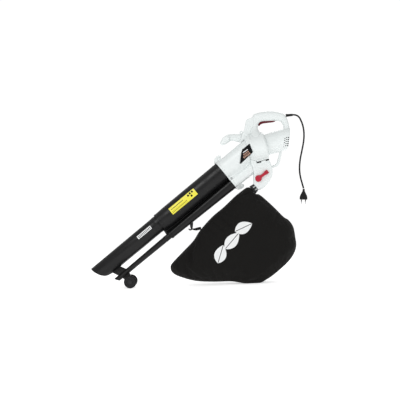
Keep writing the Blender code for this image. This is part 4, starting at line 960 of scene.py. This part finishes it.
def build_small_mouldings():
    """Strap ring, latches, trigger and wheel fork, each from its CAD shell."""
    eye = moulding("strap_ring", "strap_eye", WHITE, 0.0004, 3, 0.4)
    eye.data.transform(Matrix.Translation(STRAP_RING_SHIFT))
    moulding("latch_hook_top", "latch_upper", WHITE, 0.0007, 5, 0.5, "latch_upper")
    hook = moulding("latch_hook_low", "latch_lower", WHITE, 0.0007, 5, 0.5, "latch_lower")
    hook.data.transform(Matrix.Translation(LATCH_LOW_PIVOT) @ Matrix.Scale(LATCH_LOW_SCALE, 4)
                        @ Matrix.Translation(-LATCH_LOW_PIVOT))
    # The trigger gets the red plastic with painted shade.
    moulding("trigger_lever", "trigger", SHADED_TRIGGER_RED, 0.0007, 4, 0.5, "trigger")
    moulding("wheel_fork", "wheel_bracket", BLACK, 0.0009, 4, 0.5)


build_duct()
build_duct_screw()
build_fan_cover()
build_fan_casing()
build_housing()
build_vent_screen()
build_adapter()
build_outlet_clips()
build_brace()
build_front_handle()
build_small_mouldings()


# ---------------------------------------------------------------- selector lever
SELECTOR_ANGLE = math.radians(35.6)
LEVER_Y = -0.0363


def build_selector():
    """A round boss and a short arm with a squared finger end."""
    along, square = turned(SELECTOR_ANGLE)
    boss = bevelled(rod("boss", SELECTOR_PIVOT, 0.0156, LEVER_Y - 0.0085, LEVER_Y, 64), 0.0014, 3)
    edge = [(0.004, 0.0064), (0.036, 0.0068), (0.0400, 0.0090), (0.0565, 0.0090)]
    corners = [SELECTOR_PIVOT + along * p + square * q for p, q in edge]
    corners += [SELECTOR_PIVOT + along * p - square * q for p, q in reversed(edge)]
    arm = bevelled(prism("arm", corners, LEVER_Y - 0.0098, LEVER_Y - 0.0009), 0.0014, 3)
    lever = fused("selector_handle", [boss, arm], 0.0006, 2)
    cut(lever, rod("seat", SELECTOR_PIVOT, 0.0054, LEVER_Y - 0.0060, 0.010))
    for offset in (0.0425, 0.0460, 0.0495, 0.0530):
        middle = SELECTOR_PIVOT + along * offset
        cut(lever, block("groove", lambda p, q: middle + along * p + square * q,
                         (-0.0006, -0.0068, LEVER_Y - 0.0120),
                         (0.0006, 0.0068, LEVER_Y - 0.0093)))
    shown(lever, RED, "selector", ("selector_lever",), SOFT_EDGE)


build_selector()


# ---------------------------------------------------------------- bag collar
NECK_MIDDLE = in_plane(0.3085, 0.4508)


def neck_rings(profile):
    return [oval(NECK_MIDDLE - TUBE_DIR * along, TUBE_DOWN, high, wide, 2.6, 96)
            for along, high, wide in profile]


def build_bag_collar():
    """The bag's snap ring, whose slotted front edge shows the white spigot inside it."""
    ring = solid("bag_snap_ring", neck_rings(
        ((0.0006, 0.0190, 0.0360), (0.0012, 0.0200, 0.0370), (0.0120, 0.0215, 0.0385),
         (0.0135, 0.0215, 0.0385), (0.0140, 0.0225, 0.0395), (0.0195, 0.0225, 0.0395),
         (0.0200, 0.0218, 0.0388), (0.0200, 0.0168, 0.0332), (0.0006, 0.0168, 0.0332))), True)
    for v in (-0.0085, 0.0085):
        cut(ring, block("slot", lambda p, q: NECK_MIDDLE - TUBE_DIR * p + TUBE_DOWN * (v + q),
                        (-0.0020, -0.0034, -0.060), (0.0128, 0.0034, 0.060)))
    bevelled(ring, 0.0005, 2, SOFT_EDGE)
    shown(ring, BLACK, nodes=("bag_collar",))
    spigot = solid("adapter_spigot", neck_rings(
        ((0.0006, 0.0164, 0.0328), (0.0170, 0.0164, 0.0328), (0.0170, 0.0150, 0.0314),
         (0.0006, 0.0150, 0.0314))), True)
    shown(spigot, WHITE)


build_bag_collar()


# ---------------------------------------------------------------- bag
BAG_OUTLINE = [(0.2795, 0.4520), (0.2680, 0.4518), (0.2160, 0.4163), (0.1550, 0.3630),
               (0.0970, 0.3180), (0.0370, 0.2560), (0.0030, 0.2080), (-0.0490, 0.1580),
               (-0.1010, 0.1070), (-0.1095, 0.0850), (-0.1010, 0.0640), (-0.0720, 0.0450),
               (0.0040, 0.0210), (0.0910, 0.0130), (0.1700, 0.0120), (0.2130, 0.0060),
               (0.2380, 0.0010), (0.3050, 0.0), (0.3330, 0.0110), (0.3790, 0.0370),
               (0.4390, 0.0850), (0.4730, 0.1250), (0.4882, 0.1650), (0.4855, 0.2060),
               (0.4780, 0.2560), (0.4570, 0.2890), (0.4345, 0.3045), (0.3870, 0.3560),
               (0.3400, 0.4020), (0.3180, 0.4180), (0.3040, 0.4188)]
BAG_MIDDLE = (0.230, 0.190)
BAG_EDGES = {0: 0.034, 1: 0.030, 2: 0.018, 12: 0.010, 13: 0.020, 14: 0.036, 15: 0.050, 16: 0.058,
             17: 0.058, 18: 0.050, 19: 0.030, 20: 0.014, 28: 0.018, 29: 0.030, 30: 0.034}
BAG_THIN_EDGE = 0.005
BAG_SLACK_HALF = 0.073
BAG_SWELL = 0.014
BAG_MOUTH = Vector((0.2915, 0.0, 0.4360))
BAG_STEPS = 4
BAG_LIFT = 0.0004
BAG_VOXEL = 0.006
SEAM_RADIUS = 0.0017
MOUTH_FOLDS = 17.0
MOUTH_FOLD_DEPTH = 0.0024
MOUTH_FOLD_REACH = 0.085
FOOT_FOLD_X = 0.198
FOOT_FOLD_DEPTH = 0.0064
FOOT_FOLD_WIDTH = 0.0075
SHOULDER_FOLD_DEPTH = 0.0040
SHOULDER_FOLD_WIDTH = 0.006


def bag_edge():
    """The bag's side outline with the half width of its gusset at each point."""
    line = smooth_path(drawn(in_plane, BAG_OUTLINE), BAG_STEPS)
    gusset = [BAG_EDGES.get(i, BAG_THIN_EDGE) for i in range(len(BAG_OUTLINE))]
    edge = []
    for i, point in enumerate(line):
        half = float(np.interp(i / BAG_STEPS, range(len(gusset)), gusset))
        edge.append((point.x, max(point.z, BAG_LIFT), half))
    return edge


def slack_bag():
    """The sack before it is blown up: shrinking copies of its outline on both sides."""
    levels = (1.0, 0.985, 0.96, 0.92, 0.86, 0.77, 0.66, 0.53, 0.38, 0.20)
    edge = bag_edge()
    rings = []
    for hand, order in ((-1.0, tuple(reversed(levels))), (1.0, levels)):
        for level in order:
            swell = math.sqrt(1.0 - level ** 3.0)
            ring = []
            for x, z, half in edge:
                y = hand * (half + (BAG_SLACK_HALF - half) * swell)
                ring.append(Vector((BAG_MIDDLE[0] + (x - BAG_MIDDLE[0]) * level, y,
                                    BAG_MIDDLE[1] + (z - BAG_MIDDLE[1]) * level)))
            rings.append(ring)
    return solid("debris_sack", rings)


def edge_distance(points, line):
    """How far each point lies from the outline, seen from the side."""
    flat = points[:, (0, 2)]
    best = np.full(len(flat), 1.0)
    for a, b in zip(line, line[1:]):
        span = b - a
        t = np.clip((flat - a) @ span / (span @ span), 0.0, 1.0)
        best = np.minimum(best, np.linalg.norm(flat - (a + t[:, None] * span), axis=1))
    return best


def mesh_points(mesh):
    points = np.empty(len(mesh.vertices) * 3)
    mesh.vertices.foreach_get("co", points)
    return points.reshape(-1, 3)


def inflate(bag):
    """Blow the slack cloth up a little, with its seam, mouth and foot held."""
    start = mesh_points(bag.data)
    line = np.array([(x, z) for x, z, half in bag_edge()])
    seam = edge_distance(start, line)
    mouth = np.linalg.norm(start - np.array(BAG_MOUTH), axis=1)
    held = (seam < 0.007) | (mouth < 0.045) | (start[:, 2] < 0.004)
    pins = bag.vertex_groups.new(name="held")
    pins.add([int(i) for i in np.flatnonzero(held)], 1.0, "REPLACE")
    cloth = bag.modifiers.new("cloth", "CLOTH")
    cloth.settings.quality = 5
    cloth.settings.mass = 0.2
    cloth.settings.tension_stiffness = 12.0
    cloth.settings.compression_stiffness = 12.0
    cloth.settings.shear_stiffness = 4.0
    cloth.settings.bending_stiffness = 0.4
    cloth.settings.use_pressure = True
    cloth.settings.uniform_pressure_force = 4.0
    cloth.settings.shrink_min = -0.055
    cloth.settings.effector_weights.gravity = 0.0
    cloth.settings.vertex_group_mass = "held"
    cloth.collision_settings.use_collision = False
    cloth.point_cache.frame_start = 1
    cloth.point_cache.frame_end = 20
    for frame_number in range(1, 21):
        bpy.context.scene.frame_set(frame_number)
    graph = bpy.context.evaluated_depsgraph_get()
    blown = mesh_points(bag.evaluated_get(graph).data)
    bag.modifiers.clear()
    bag.vertex_groups.clear()
    bpy.context.scene.frame_set(1)
    moved = blown - start
    length = np.linalg.norm(moved, axis=1)
    moved *= (np.minimum(length, BAG_SWELL) / np.maximum(length, 1e-9))[:, None]
    return start + moved


def gathered(points):
    """Folds that fan out from the mouth, one that rises from the foot, one below the neck."""
    x, y, z = points.T
    side = np.sign(y)
    away = np.hypot(x - BAG_MOUTH.x, z - BAG_MOUTH.z)
    turn = np.arctan2(z - BAG_MOUTH.z, x - BAG_MOUTH.x)
    fan = np.sin(turn * MOUTH_FOLDS + side * 0.8)
    depth = (MOUTH_FOLD_DEPTH * fan * np.exp(-away / MOUTH_FOLD_REACH)
             * np.clip(away / 0.030, 0.0, 1.0))
    rise = np.clip((z - 0.010) / 0.120, 0.0, 1.0)
    off = (x - (FOOT_FOLD_X + 0.018 * rise + side * 0.010)) / FOOT_FOLD_WIDTH
    depth += (FOOT_FOLD_DEPTH * off * np.exp(-off ** 2 / 2.0)) * (1.0 - rise)
    off = (x - 0.262 - 0.55 * (z - 0.330)) / SHOULDER_FOLD_WIDTH
    near = np.exp(-((z - 0.365) / 0.038) ** 2)
    depth += SHOULDER_FOLD_DEPTH * off * np.exp(-off ** 2 / 2.0) * near
    points[:, 1] += side * depth * np.clip(np.abs(y) / 0.020, 0.0, 1.0)
    return points


def build_bag():
    """The sewn sack, blown up by the cloth simulation, folded and smoothed."""
    bag = softened(slack_bag(), BAG_VOXEL, 0)
    points = inflate(bag)
    points = gathered(points)
    points[:, 2] = np.maximum(points[:, 2], BAG_LIFT)
    bag.data.vertices.foreach_set("co", points.ravel())
    bag.data.update()
    smooth = bag.modifiers.new("smooth", "SUBSURF")
    smooth.levels = 1
    smooth.render_levels = 1
    baked(bag)
    shown(bag, CLOTH, nodes=("debris_bag",), angle=None)
    return bag


def build_bag_seam():
    """The piped seam that joins the bag's two side panels."""
    line = [in_plane(x, max(z, 0.0022)) for x, z, half in bag_edge()][BAG_STEPS:-BAG_STEPS]
    rings = [circle(line[i], heading(line, i), SEAM_RADIUS, 10) for i in range(len(line))]
    shown(solid("bag_piping", rings), CLOTH)


BAG = build_bag()
build_bag_seam()


# ---------------------------------------------------------------- strap
def build_strap_hook():
    """A moulded hook under the tube, with a curled end that carries the webbing."""
    root = drawn(on_tube, ((0.4950, 0.1390), (0.5150, 0.1395)))
    edges = [((root[0].x, root[0].z), (root[1].x, root[1].z)),
             ((-0.0100, 0.2770), (0.0035, 0.2790)),
             ((-0.0085, 0.2710), (0.0020, 0.2720)), ((-0.0075, 0.2680), (0.0000, 0.2650)),
             ((-0.0085, 0.2662), (-0.0045, 0.2602)), ((-0.0110, 0.2655), (-0.0115, 0.2590)),
             ((-0.0130, 0.2670), (-0.0175, 0.2625)), ((-0.0135, 0.2690), (-0.0185, 0.2685))]
    shown(ribbon("strap_hook", edges, 0.0038, 3.5, 32), DARK, nodes=("bag_hook",))


def build_strap():
    """The webbing tab between the hook and the bag, turned a little as it hangs."""
    route = ((-0.0035, 0.2672), (0.0030, 0.2648), (0.0120, 0.2640), (0.0200, 0.2645),
             (0.0300, 0.2665), (0.0420, 0.2680))
    path = smooth_path(drawn(in_plane, route), 6)
    rings = []
    for i, point in enumerate(path):
        t = i / (len(path) - 1)
        up = heading(path, i).cross(ACROSS) * -1.0
        turn = math.radians(6.0 + 28.0 * min(1.0, 1.6 * t))
        wide = (ACROSS * math.cos(turn) + up * math.sin(turn)) * 0.0110
        thick = (up * math.cos(turn) - ACROSS * math.sin(turn)) * 0.0013
        rings.append([point - wide - thick, point + wide - thick, point + wide + thick,
                      point - wide + thick])
    strap = bevelled(solid("bag_tab", rings), 0.0004, 2)
    shown(strap, WEBBING, nodes=("bag_strap",))


build_strap()
build_strap_hook()


# ---------------------------------------------------------------- labels and prints
def surface_of(*pieces):
    """A ray target made of finished pieces."""
    points = []
    faces = []
    for piece in pieces:
        base = len(points)
        points += [vertex.co.copy() for vertex in piece.data.vertices]
        faces += [[base + i for i in face.vertices] for face in piece.data.polygons]
    return BVHTree.FromPolygons(points, faces)


def left_side(target, spot):
    hit = target.ray_cast(Vector((spot.x, -0.3, spot.z)), ACROSS)[0]
    return hit.y if hit else None


def lattice(first, last, columns, rows):
    """Points between two lines of points, row by row."""
    grid = []
    for a, b, c, d in zip(first, first[1:], last, last[1:]):
        for i in range(rows):
            t = i / rows
            start = a.lerp(b, t)
            end = c.lerp(d, t)
            grid.append([start.lerp(end, j / columns) for j in range(columns + 1)])
    grid.append([first[-1].lerp(last[-1], j / columns) for j in range(columns + 1)])
    return grid


def printed(name, grids, depth, look, low, high, nodes=()):
    """Thin closed films from `low` to `high` above the surface that depth() returns."""
    bm = bmesh.new()
    for grid in grids:
        layers = []
        for lift in (low, high):
            layers.append([[bm.verts.new((spot.x, depth(spot) - lift, spot.z)) for spot in row]
                           for row in grid])
        near, far = layers
        rows = len(grid)
        columns = len(grid[0])
        for layer in layers:
            for i in range(rows - 1):
                for j in range(columns - 1):
                    bm.faces.new((layer[i][j], layer[i + 1][j], layer[i + 1][j + 1],
                                  layer[i][j + 1]))
        rim = [(0, j) for j in range(columns)] + [(i, columns - 1) for i in range(1, rows)]
        rim += [(rows - 1, j) for j in range(columns - 2, -1, -1)]
        rim += [(i, 0) for i in range(rows - 2, 0, -1)]
        for (a, b), (c, d) in zip(rim, rim[1:] + rim[:1]):
            bm.faces.new((near[a][b], near[c][d], far[c][d], far[a][b]))
    shown(raw_object(name, bm), look, nodes=nodes, angle=30.0)


FILM = (0.0002, 0.0008)
TICKS_ON_FILM = (0.0007, 0.0011)
BARS_ON_BADGE = (0.0008, 0.0014)
LEAF_WIDTH = 0.0295
LEAF_BAND_ANGLE = math.radians(47.0)


def leaf_half(centre, along, length, hand):
    """One half of a leaf on either side of its open mid rib."""
    square = square_to(along) * hand
    near = []
    far = []
    for i in range(15):
        t = i / 14
        place = centre + along * (length * (t - 0.5))
        half = LEAF_WIDTH * math.sin(math.pi * t) ** 0.75 * (1.1 - 0.35 * t)
        near.append(place + square * min(0.0016, 0.2 * half + 0.0002))
        far.append(place + square * (half + 0.0006))
    return lattice(near, far, 5, 1)


def build_bag_print():
    """A generic row of three leaves along the bag."""
    target = surface_of(BAG)
    band = turned(LEAF_BAND_ANGLE)[0]
    middle = in_plane(0.1835, 0.2050)
    grids = []
    for offset, lean, length in ((-0.082, 24.0, 0.088), (0.0, 0.0, 0.098), (0.082, -24.0, 0.088)):
        along = turned(LEAF_BAND_ANGLE + math.radians(lean))[0]
        for hand in (-1.0, 1.0):
            grids.append(leaf_half(middle + band * offset, along, length, hand))
    printed("bag_leaf_print", grids, lambda spot: left_side(target, spot), LABEL, -0.0005, 0.0006)


def tube_box(u_low, v_low, u_high, v_high, columns=8):
    """A lattice over a rectangle of the tube's side."""
    return lattice([on_tube(u_low, v_low), on_tube(u_high, v_low)],
                   [on_tube(u_low, v_high), on_tube(u_high, v_high)], columns, 12)


def tube_side(axis_v, radius):
    """The depth of a round tube's left side below a spot, as printed() asks for it."""
    def depth(spot):
        off = (spot - TUBE_TIP).dot(TUBE_DOWN) - axis_v
        return -math.sqrt(radius ** 2 - off ** 2)
    return depth


def build_tube_labels():
    """Scale-like labels of bars and ticks."""
    upper = tube_side(UPPER_AXIS_V, UPPER_RADIUS)
    lower = tube_side(LOWER_AXIS_V, LOWER_RADIUS)
    printed("label_plate_upper", [tube_box(0.465, 0.017, 0.617, 0.052)], upper, YELLOW, *FILM,
            nodes=("tube_label_upper",))
    ticks = [tube_box(0.472 + 0.0064 * i, 0.0385, 0.4738 + 0.0064 * i, 0.0470, 3)
             for i in range(14)]
    ticks.append(tube_box(0.472, 0.0270, 0.545, 0.0295, 3))
    ticks += [tube_box(u, v, u + 0.0085, v + 0.0095, 3) for u, v in
              ((0.585, 0.0200), (0.598, 0.0200), (0.585, 0.0340), (0.572, 0.0230))]
    printed("label_ticks_upper", ticks, upper, BADGE, *TICKS_ON_FILM)
    printed("label_plate_lower", [tube_box(0.266, 0.021, 0.347, 0.038)], lower, LABEL, *FILM,
            nodes=("tube_label_lower",))
    ticks = [tube_box(0.272 + 0.0075 * i, 0.0245, 0.2752 + 0.0075 * i, 0.0345, 3)
             for i in range(10)]
    printed("label_ticks_lower", ticks, lower, BADGE, *TICKS_ON_FILM)


def build_badge():
    """A flat badge over the duct and fan cover, with generic bars on it."""
    left = drawn(in_plane, ((0.2500, 0.6312), (0.2438, 0.6128), (0.2370, 0.5665)))
    right = drawn(in_plane, ((0.2840, 0.6560), (0.2985, 0.6150), (0.2412, 0.5640)))
    plate = lattice(left, right, 10, 8)
    target = surface_of(bpy.data.objects["inlet_duct_shell"], bpy.data.objects["fan_cover_shell"])
    spots = [spot for row in plate for spot in row]
    found = [(spot, left_side(target, spot)) for spot in spots]
    hits = [(spot, y) for spot, y in found if y is not None and y < -0.020]

    def terms(spot):
        p = spot.x - 0.265
        q = spot.z - 0.615
        return (1.0, p, q, p * p, p * q, q * q)

    table = np.array([terms(spot) for spot, y in hits])
    depths = np.array([y for spot, y in hits])
    fit = np.linalg.lstsq(table, depths, rcond=None)[0]
    proud = float((depths - table @ fit).min())

    def face(spot):
        return float(np.dot(terms(spot), fit)) + proud

    printed("badge_face", [plate], face, BADGE, -0.0035, 0.0010, nodes=("badge_plate",))
    along, square = turned(math.radians(33.0))

    def stripe(start, end, low, high):
        corners = [in_plane(0.2690, 0.6058) + along * p + square * q for p, q in
                   ((start, low), (end, low), (start, high), (end, high))]
        return lattice(corners[:2], corners[2:], 2, 6)

    printed("badge_line", [stripe(-0.0080, 0.0185, 0.0150, 0.0186)], face, LABEL, *BARS_ON_BADGE)
    blocks = [stripe(-0.0125 + 0.0078 * i, -0.0072 + 0.0078 * i, 0.0035, 0.0110) for i in range(4)]
    blocks += [stripe(-0.0195 + 0.0078 * i, -0.0142 + 0.0078 * i, -0.0082, 0.0008)
               for i in range(5)]
    printed("badge_bars", blocks, face, COPPER, *BARS_ON_BADGE)


build_bag_print()
build_tube_labels()
build_badge()


# ---------------------------------------------------------------- wheels
WHEEL_CENTRE = in_plane(-0.3023, 0.030)
WHEEL_RADIUS = 0.030
WHEEL_INNER_Y = 0.0370
WHEEL_OUTER_Y = 0.0530
TYRE_BORE = 0.0225
TREAD_DEPTH = 0.0008
SPOKES = 6


def wheel_part(name, hand, profile, closed=True, count=96):
    """A body turned about the axle from a profile of (Y, radius), on either side."""
    turn = 2.0 * math.pi / count
    return solid(name, [[WHEEL_CENTRE + turned(turn * i)[0] * radius + ACROSS * (hand * y)
                         for i in range(count)] for y, radius in profile], closed)


def tread_ring(y, radius, depth, teeth=32):
    """A ring whose blocks stand `depth` proud of the grooves between them."""
    ring = []
    for i in range(teeth * 4):
        out = turned(2.0 * math.pi * i / (teeth * 4))[0]
        r = radius if i % 4 in (1, 2) else radius - depth
        ring.append(WHEEL_CENTRE + out * r + ACROSS * y)
    return ring


def build_wheel(hand, side):
    """A treaded tyre on a spoked rim."""
    body = "wheel_" + side
    steps = [(WHEEL_INNER_Y, 0.0272, 0.0), (0.0376, 0.0286, 0.0), (0.0388, 0.0296, 0.0004),
             (0.0400, WHEEL_RADIUS, TREAD_DEPTH), (0.0436, WHEEL_RADIUS, TREAD_DEPTH),
             (0.0440, WHEEL_RADIUS - TREAD_DEPTH, 0.0), (0.0460, WHEEL_RADIUS - TREAD_DEPTH, 0.0),
             (0.0464, WHEEL_RADIUS, TREAD_DEPTH), (0.0500, WHEEL_RADIUS, TREAD_DEPTH),
             (0.0512, 0.0296, 0.0004), (0.0524, 0.0286, 0.0), (WHEEL_OUTER_Y, 0.0272, 0.0)]
    rings = [tread_ring(hand * y, radius, depth) for y, radius, depth in steps]
    flat = [point - ACROSS * point.y for point in rings[0]]
    rings += [[WHEEL_CENTRE + (point - WHEEL_CENTRE).normalized() * TYRE_BORE + ACROSS * hand * y
               for point in flat] for y in (WHEEL_OUTER_Y, WHEEL_INNER_Y)]
    shown(solid("tyre_" + side, rings, True), RUBBER, body, angle=30.0)
    rim = ((0.0374, 0.0226), (0.0380, 0.0230), (0.0522, 0.0230), (0.0528, 0.0226),
           (0.0528, 0.0200), (0.0374, 0.0200))
    web = ((0.0440, 0.0210), (0.0468, 0.0210), (0.0468, 0.0050), (0.0440, 0.0050))
    hub = ((0.0374, 0.0080), (0.0380, 0.0086), (0.0516, 0.0086), (0.0524, 0.0078),
           (0.0524, 0.0044), (0.0374, 0.0044))
    parts = [wheel_part("turned", hand, profile) for profile in (rim, web, hub)]
    for i in range(SPOKES):
        along, square = turned(2.0 * math.pi * i / SPOKES + 0.3)
        corners = [WHEEL_CENTRE + along * p + square * q for p, q in
                   ((0.0070, -0.0021), (0.0215, -0.0014), (0.0215, 0.0014), (0.0070, 0.0021))]
        parts.append(prism("spoke", corners, *sorted((hand * 0.0400, hand * 0.0512))))
    shown(fused("wheel_rim_" + side, parts, 0.0005, 2, 0.35), DARK, body, (body,), 45.0)


def build_hub_cap(hand, side):
    """A pressed cap over the end of the axle."""
    profile = ((0.0533, 0.0088), (0.0536, 0.0091), (0.0548, 0.0091), (0.0555, 0.0086),
               (0.0560, 0.0074), (0.0563, 0.0050), (0.0564, 0.0022))
    cap = wheel_part("hub_cap_" + side, hand, profile, False, 48)
    shown(cap, DARK, nodes=("axle_clip_" + side,))


for WHEEL_HAND, WHEEL_SIDE in ((-1.0, "left"), (1.0, "right")):
    build_wheel(WHEEL_HAND, WHEEL_SIDE)
    build_hub_cap(WHEEL_HAND, WHEEL_SIDE)


# ---------------------------------------------------------------- stage
def area_light(name, place, aim, power, size):
    """A round soft box that looks at a point."""
    data = bpy.data.lights.new(name, "AREA")
    data.energy = power
    data.shape = "DISK"
    data.size = size
    lamp = linked(name, data)
    lamp.location = place
    lamp.rotation_euler = (Vector(aim) - Vector(place)).to_track_quat("-Z", "Y").to_euler()


def build_world():
    """A white studio: full white behind the object, softer as a light."""
    world = bpy.data.worlds.new("studio")
    bpy.context.scene.world = world
    world.use_nodes = True
    tree = world.node_tree
    sky = tree.nodes["Background"]
    sky.inputs["Color"].default_value = (1.0, 1.0, 1.0, 1.0)
    rays = tree.nodes.new("ShaderNodeLightPath")
    strength = tree.nodes.new("ShaderNodeMapRange")
    set_inputs(strength, {"To Min": 0.55, "To Max": 1.05})
    tree.links.new(rays.outputs["Is Camera Ray"], strength.inputs["Value"])
    tree.links.new(strength.outputs["Result"], sky.inputs["Strength"])
    bpy.context.scene.view_settings.view_transform = "Standard"


def build_floor():
    """A wide pale floor that glows a little, so that it meets the white backdrop."""
    reach = 40.0
    bm = bmesh.new()
    corners = [bm.verts.new((x * reach, y * reach, -0.0005)) for x, y in
               ((-1, -1), (1, -1), (1, 1), (-1, 1))]
    bm.faces.new(corners)
    floor = raw_object("floor", bm)
    material, tree, shader = new_material("pale_floor", (0.90, 0.90, 0.90), 0.75)
    tint = mixed(tree, noise(tree, 1.5), (0.90, 0.90, 0.90), (0.88, 0.88, 0.88))
    tree.links.new(tint, shader.inputs["Base Color"])
    set_inputs(shader, {"Emission Color": (1.0, 1.0, 1.0, 1.0), "Emission Strength": 0.55})
    floor.data.materials.append(material)


area_light("key", (-1.6, -2.8, 2.9), (0.0, 0.0, 0.35), 48.0, 2.2)
area_light("fill", (2.6, -2.4, 1.2), (0.1, 0.0, 0.4), 10.0, 2.0)
area_light("rim", (0.6, 2.6, 2.4), (0.0, 0.0, 0.4), 22.0, 2.0)
build_world()
build_floor()
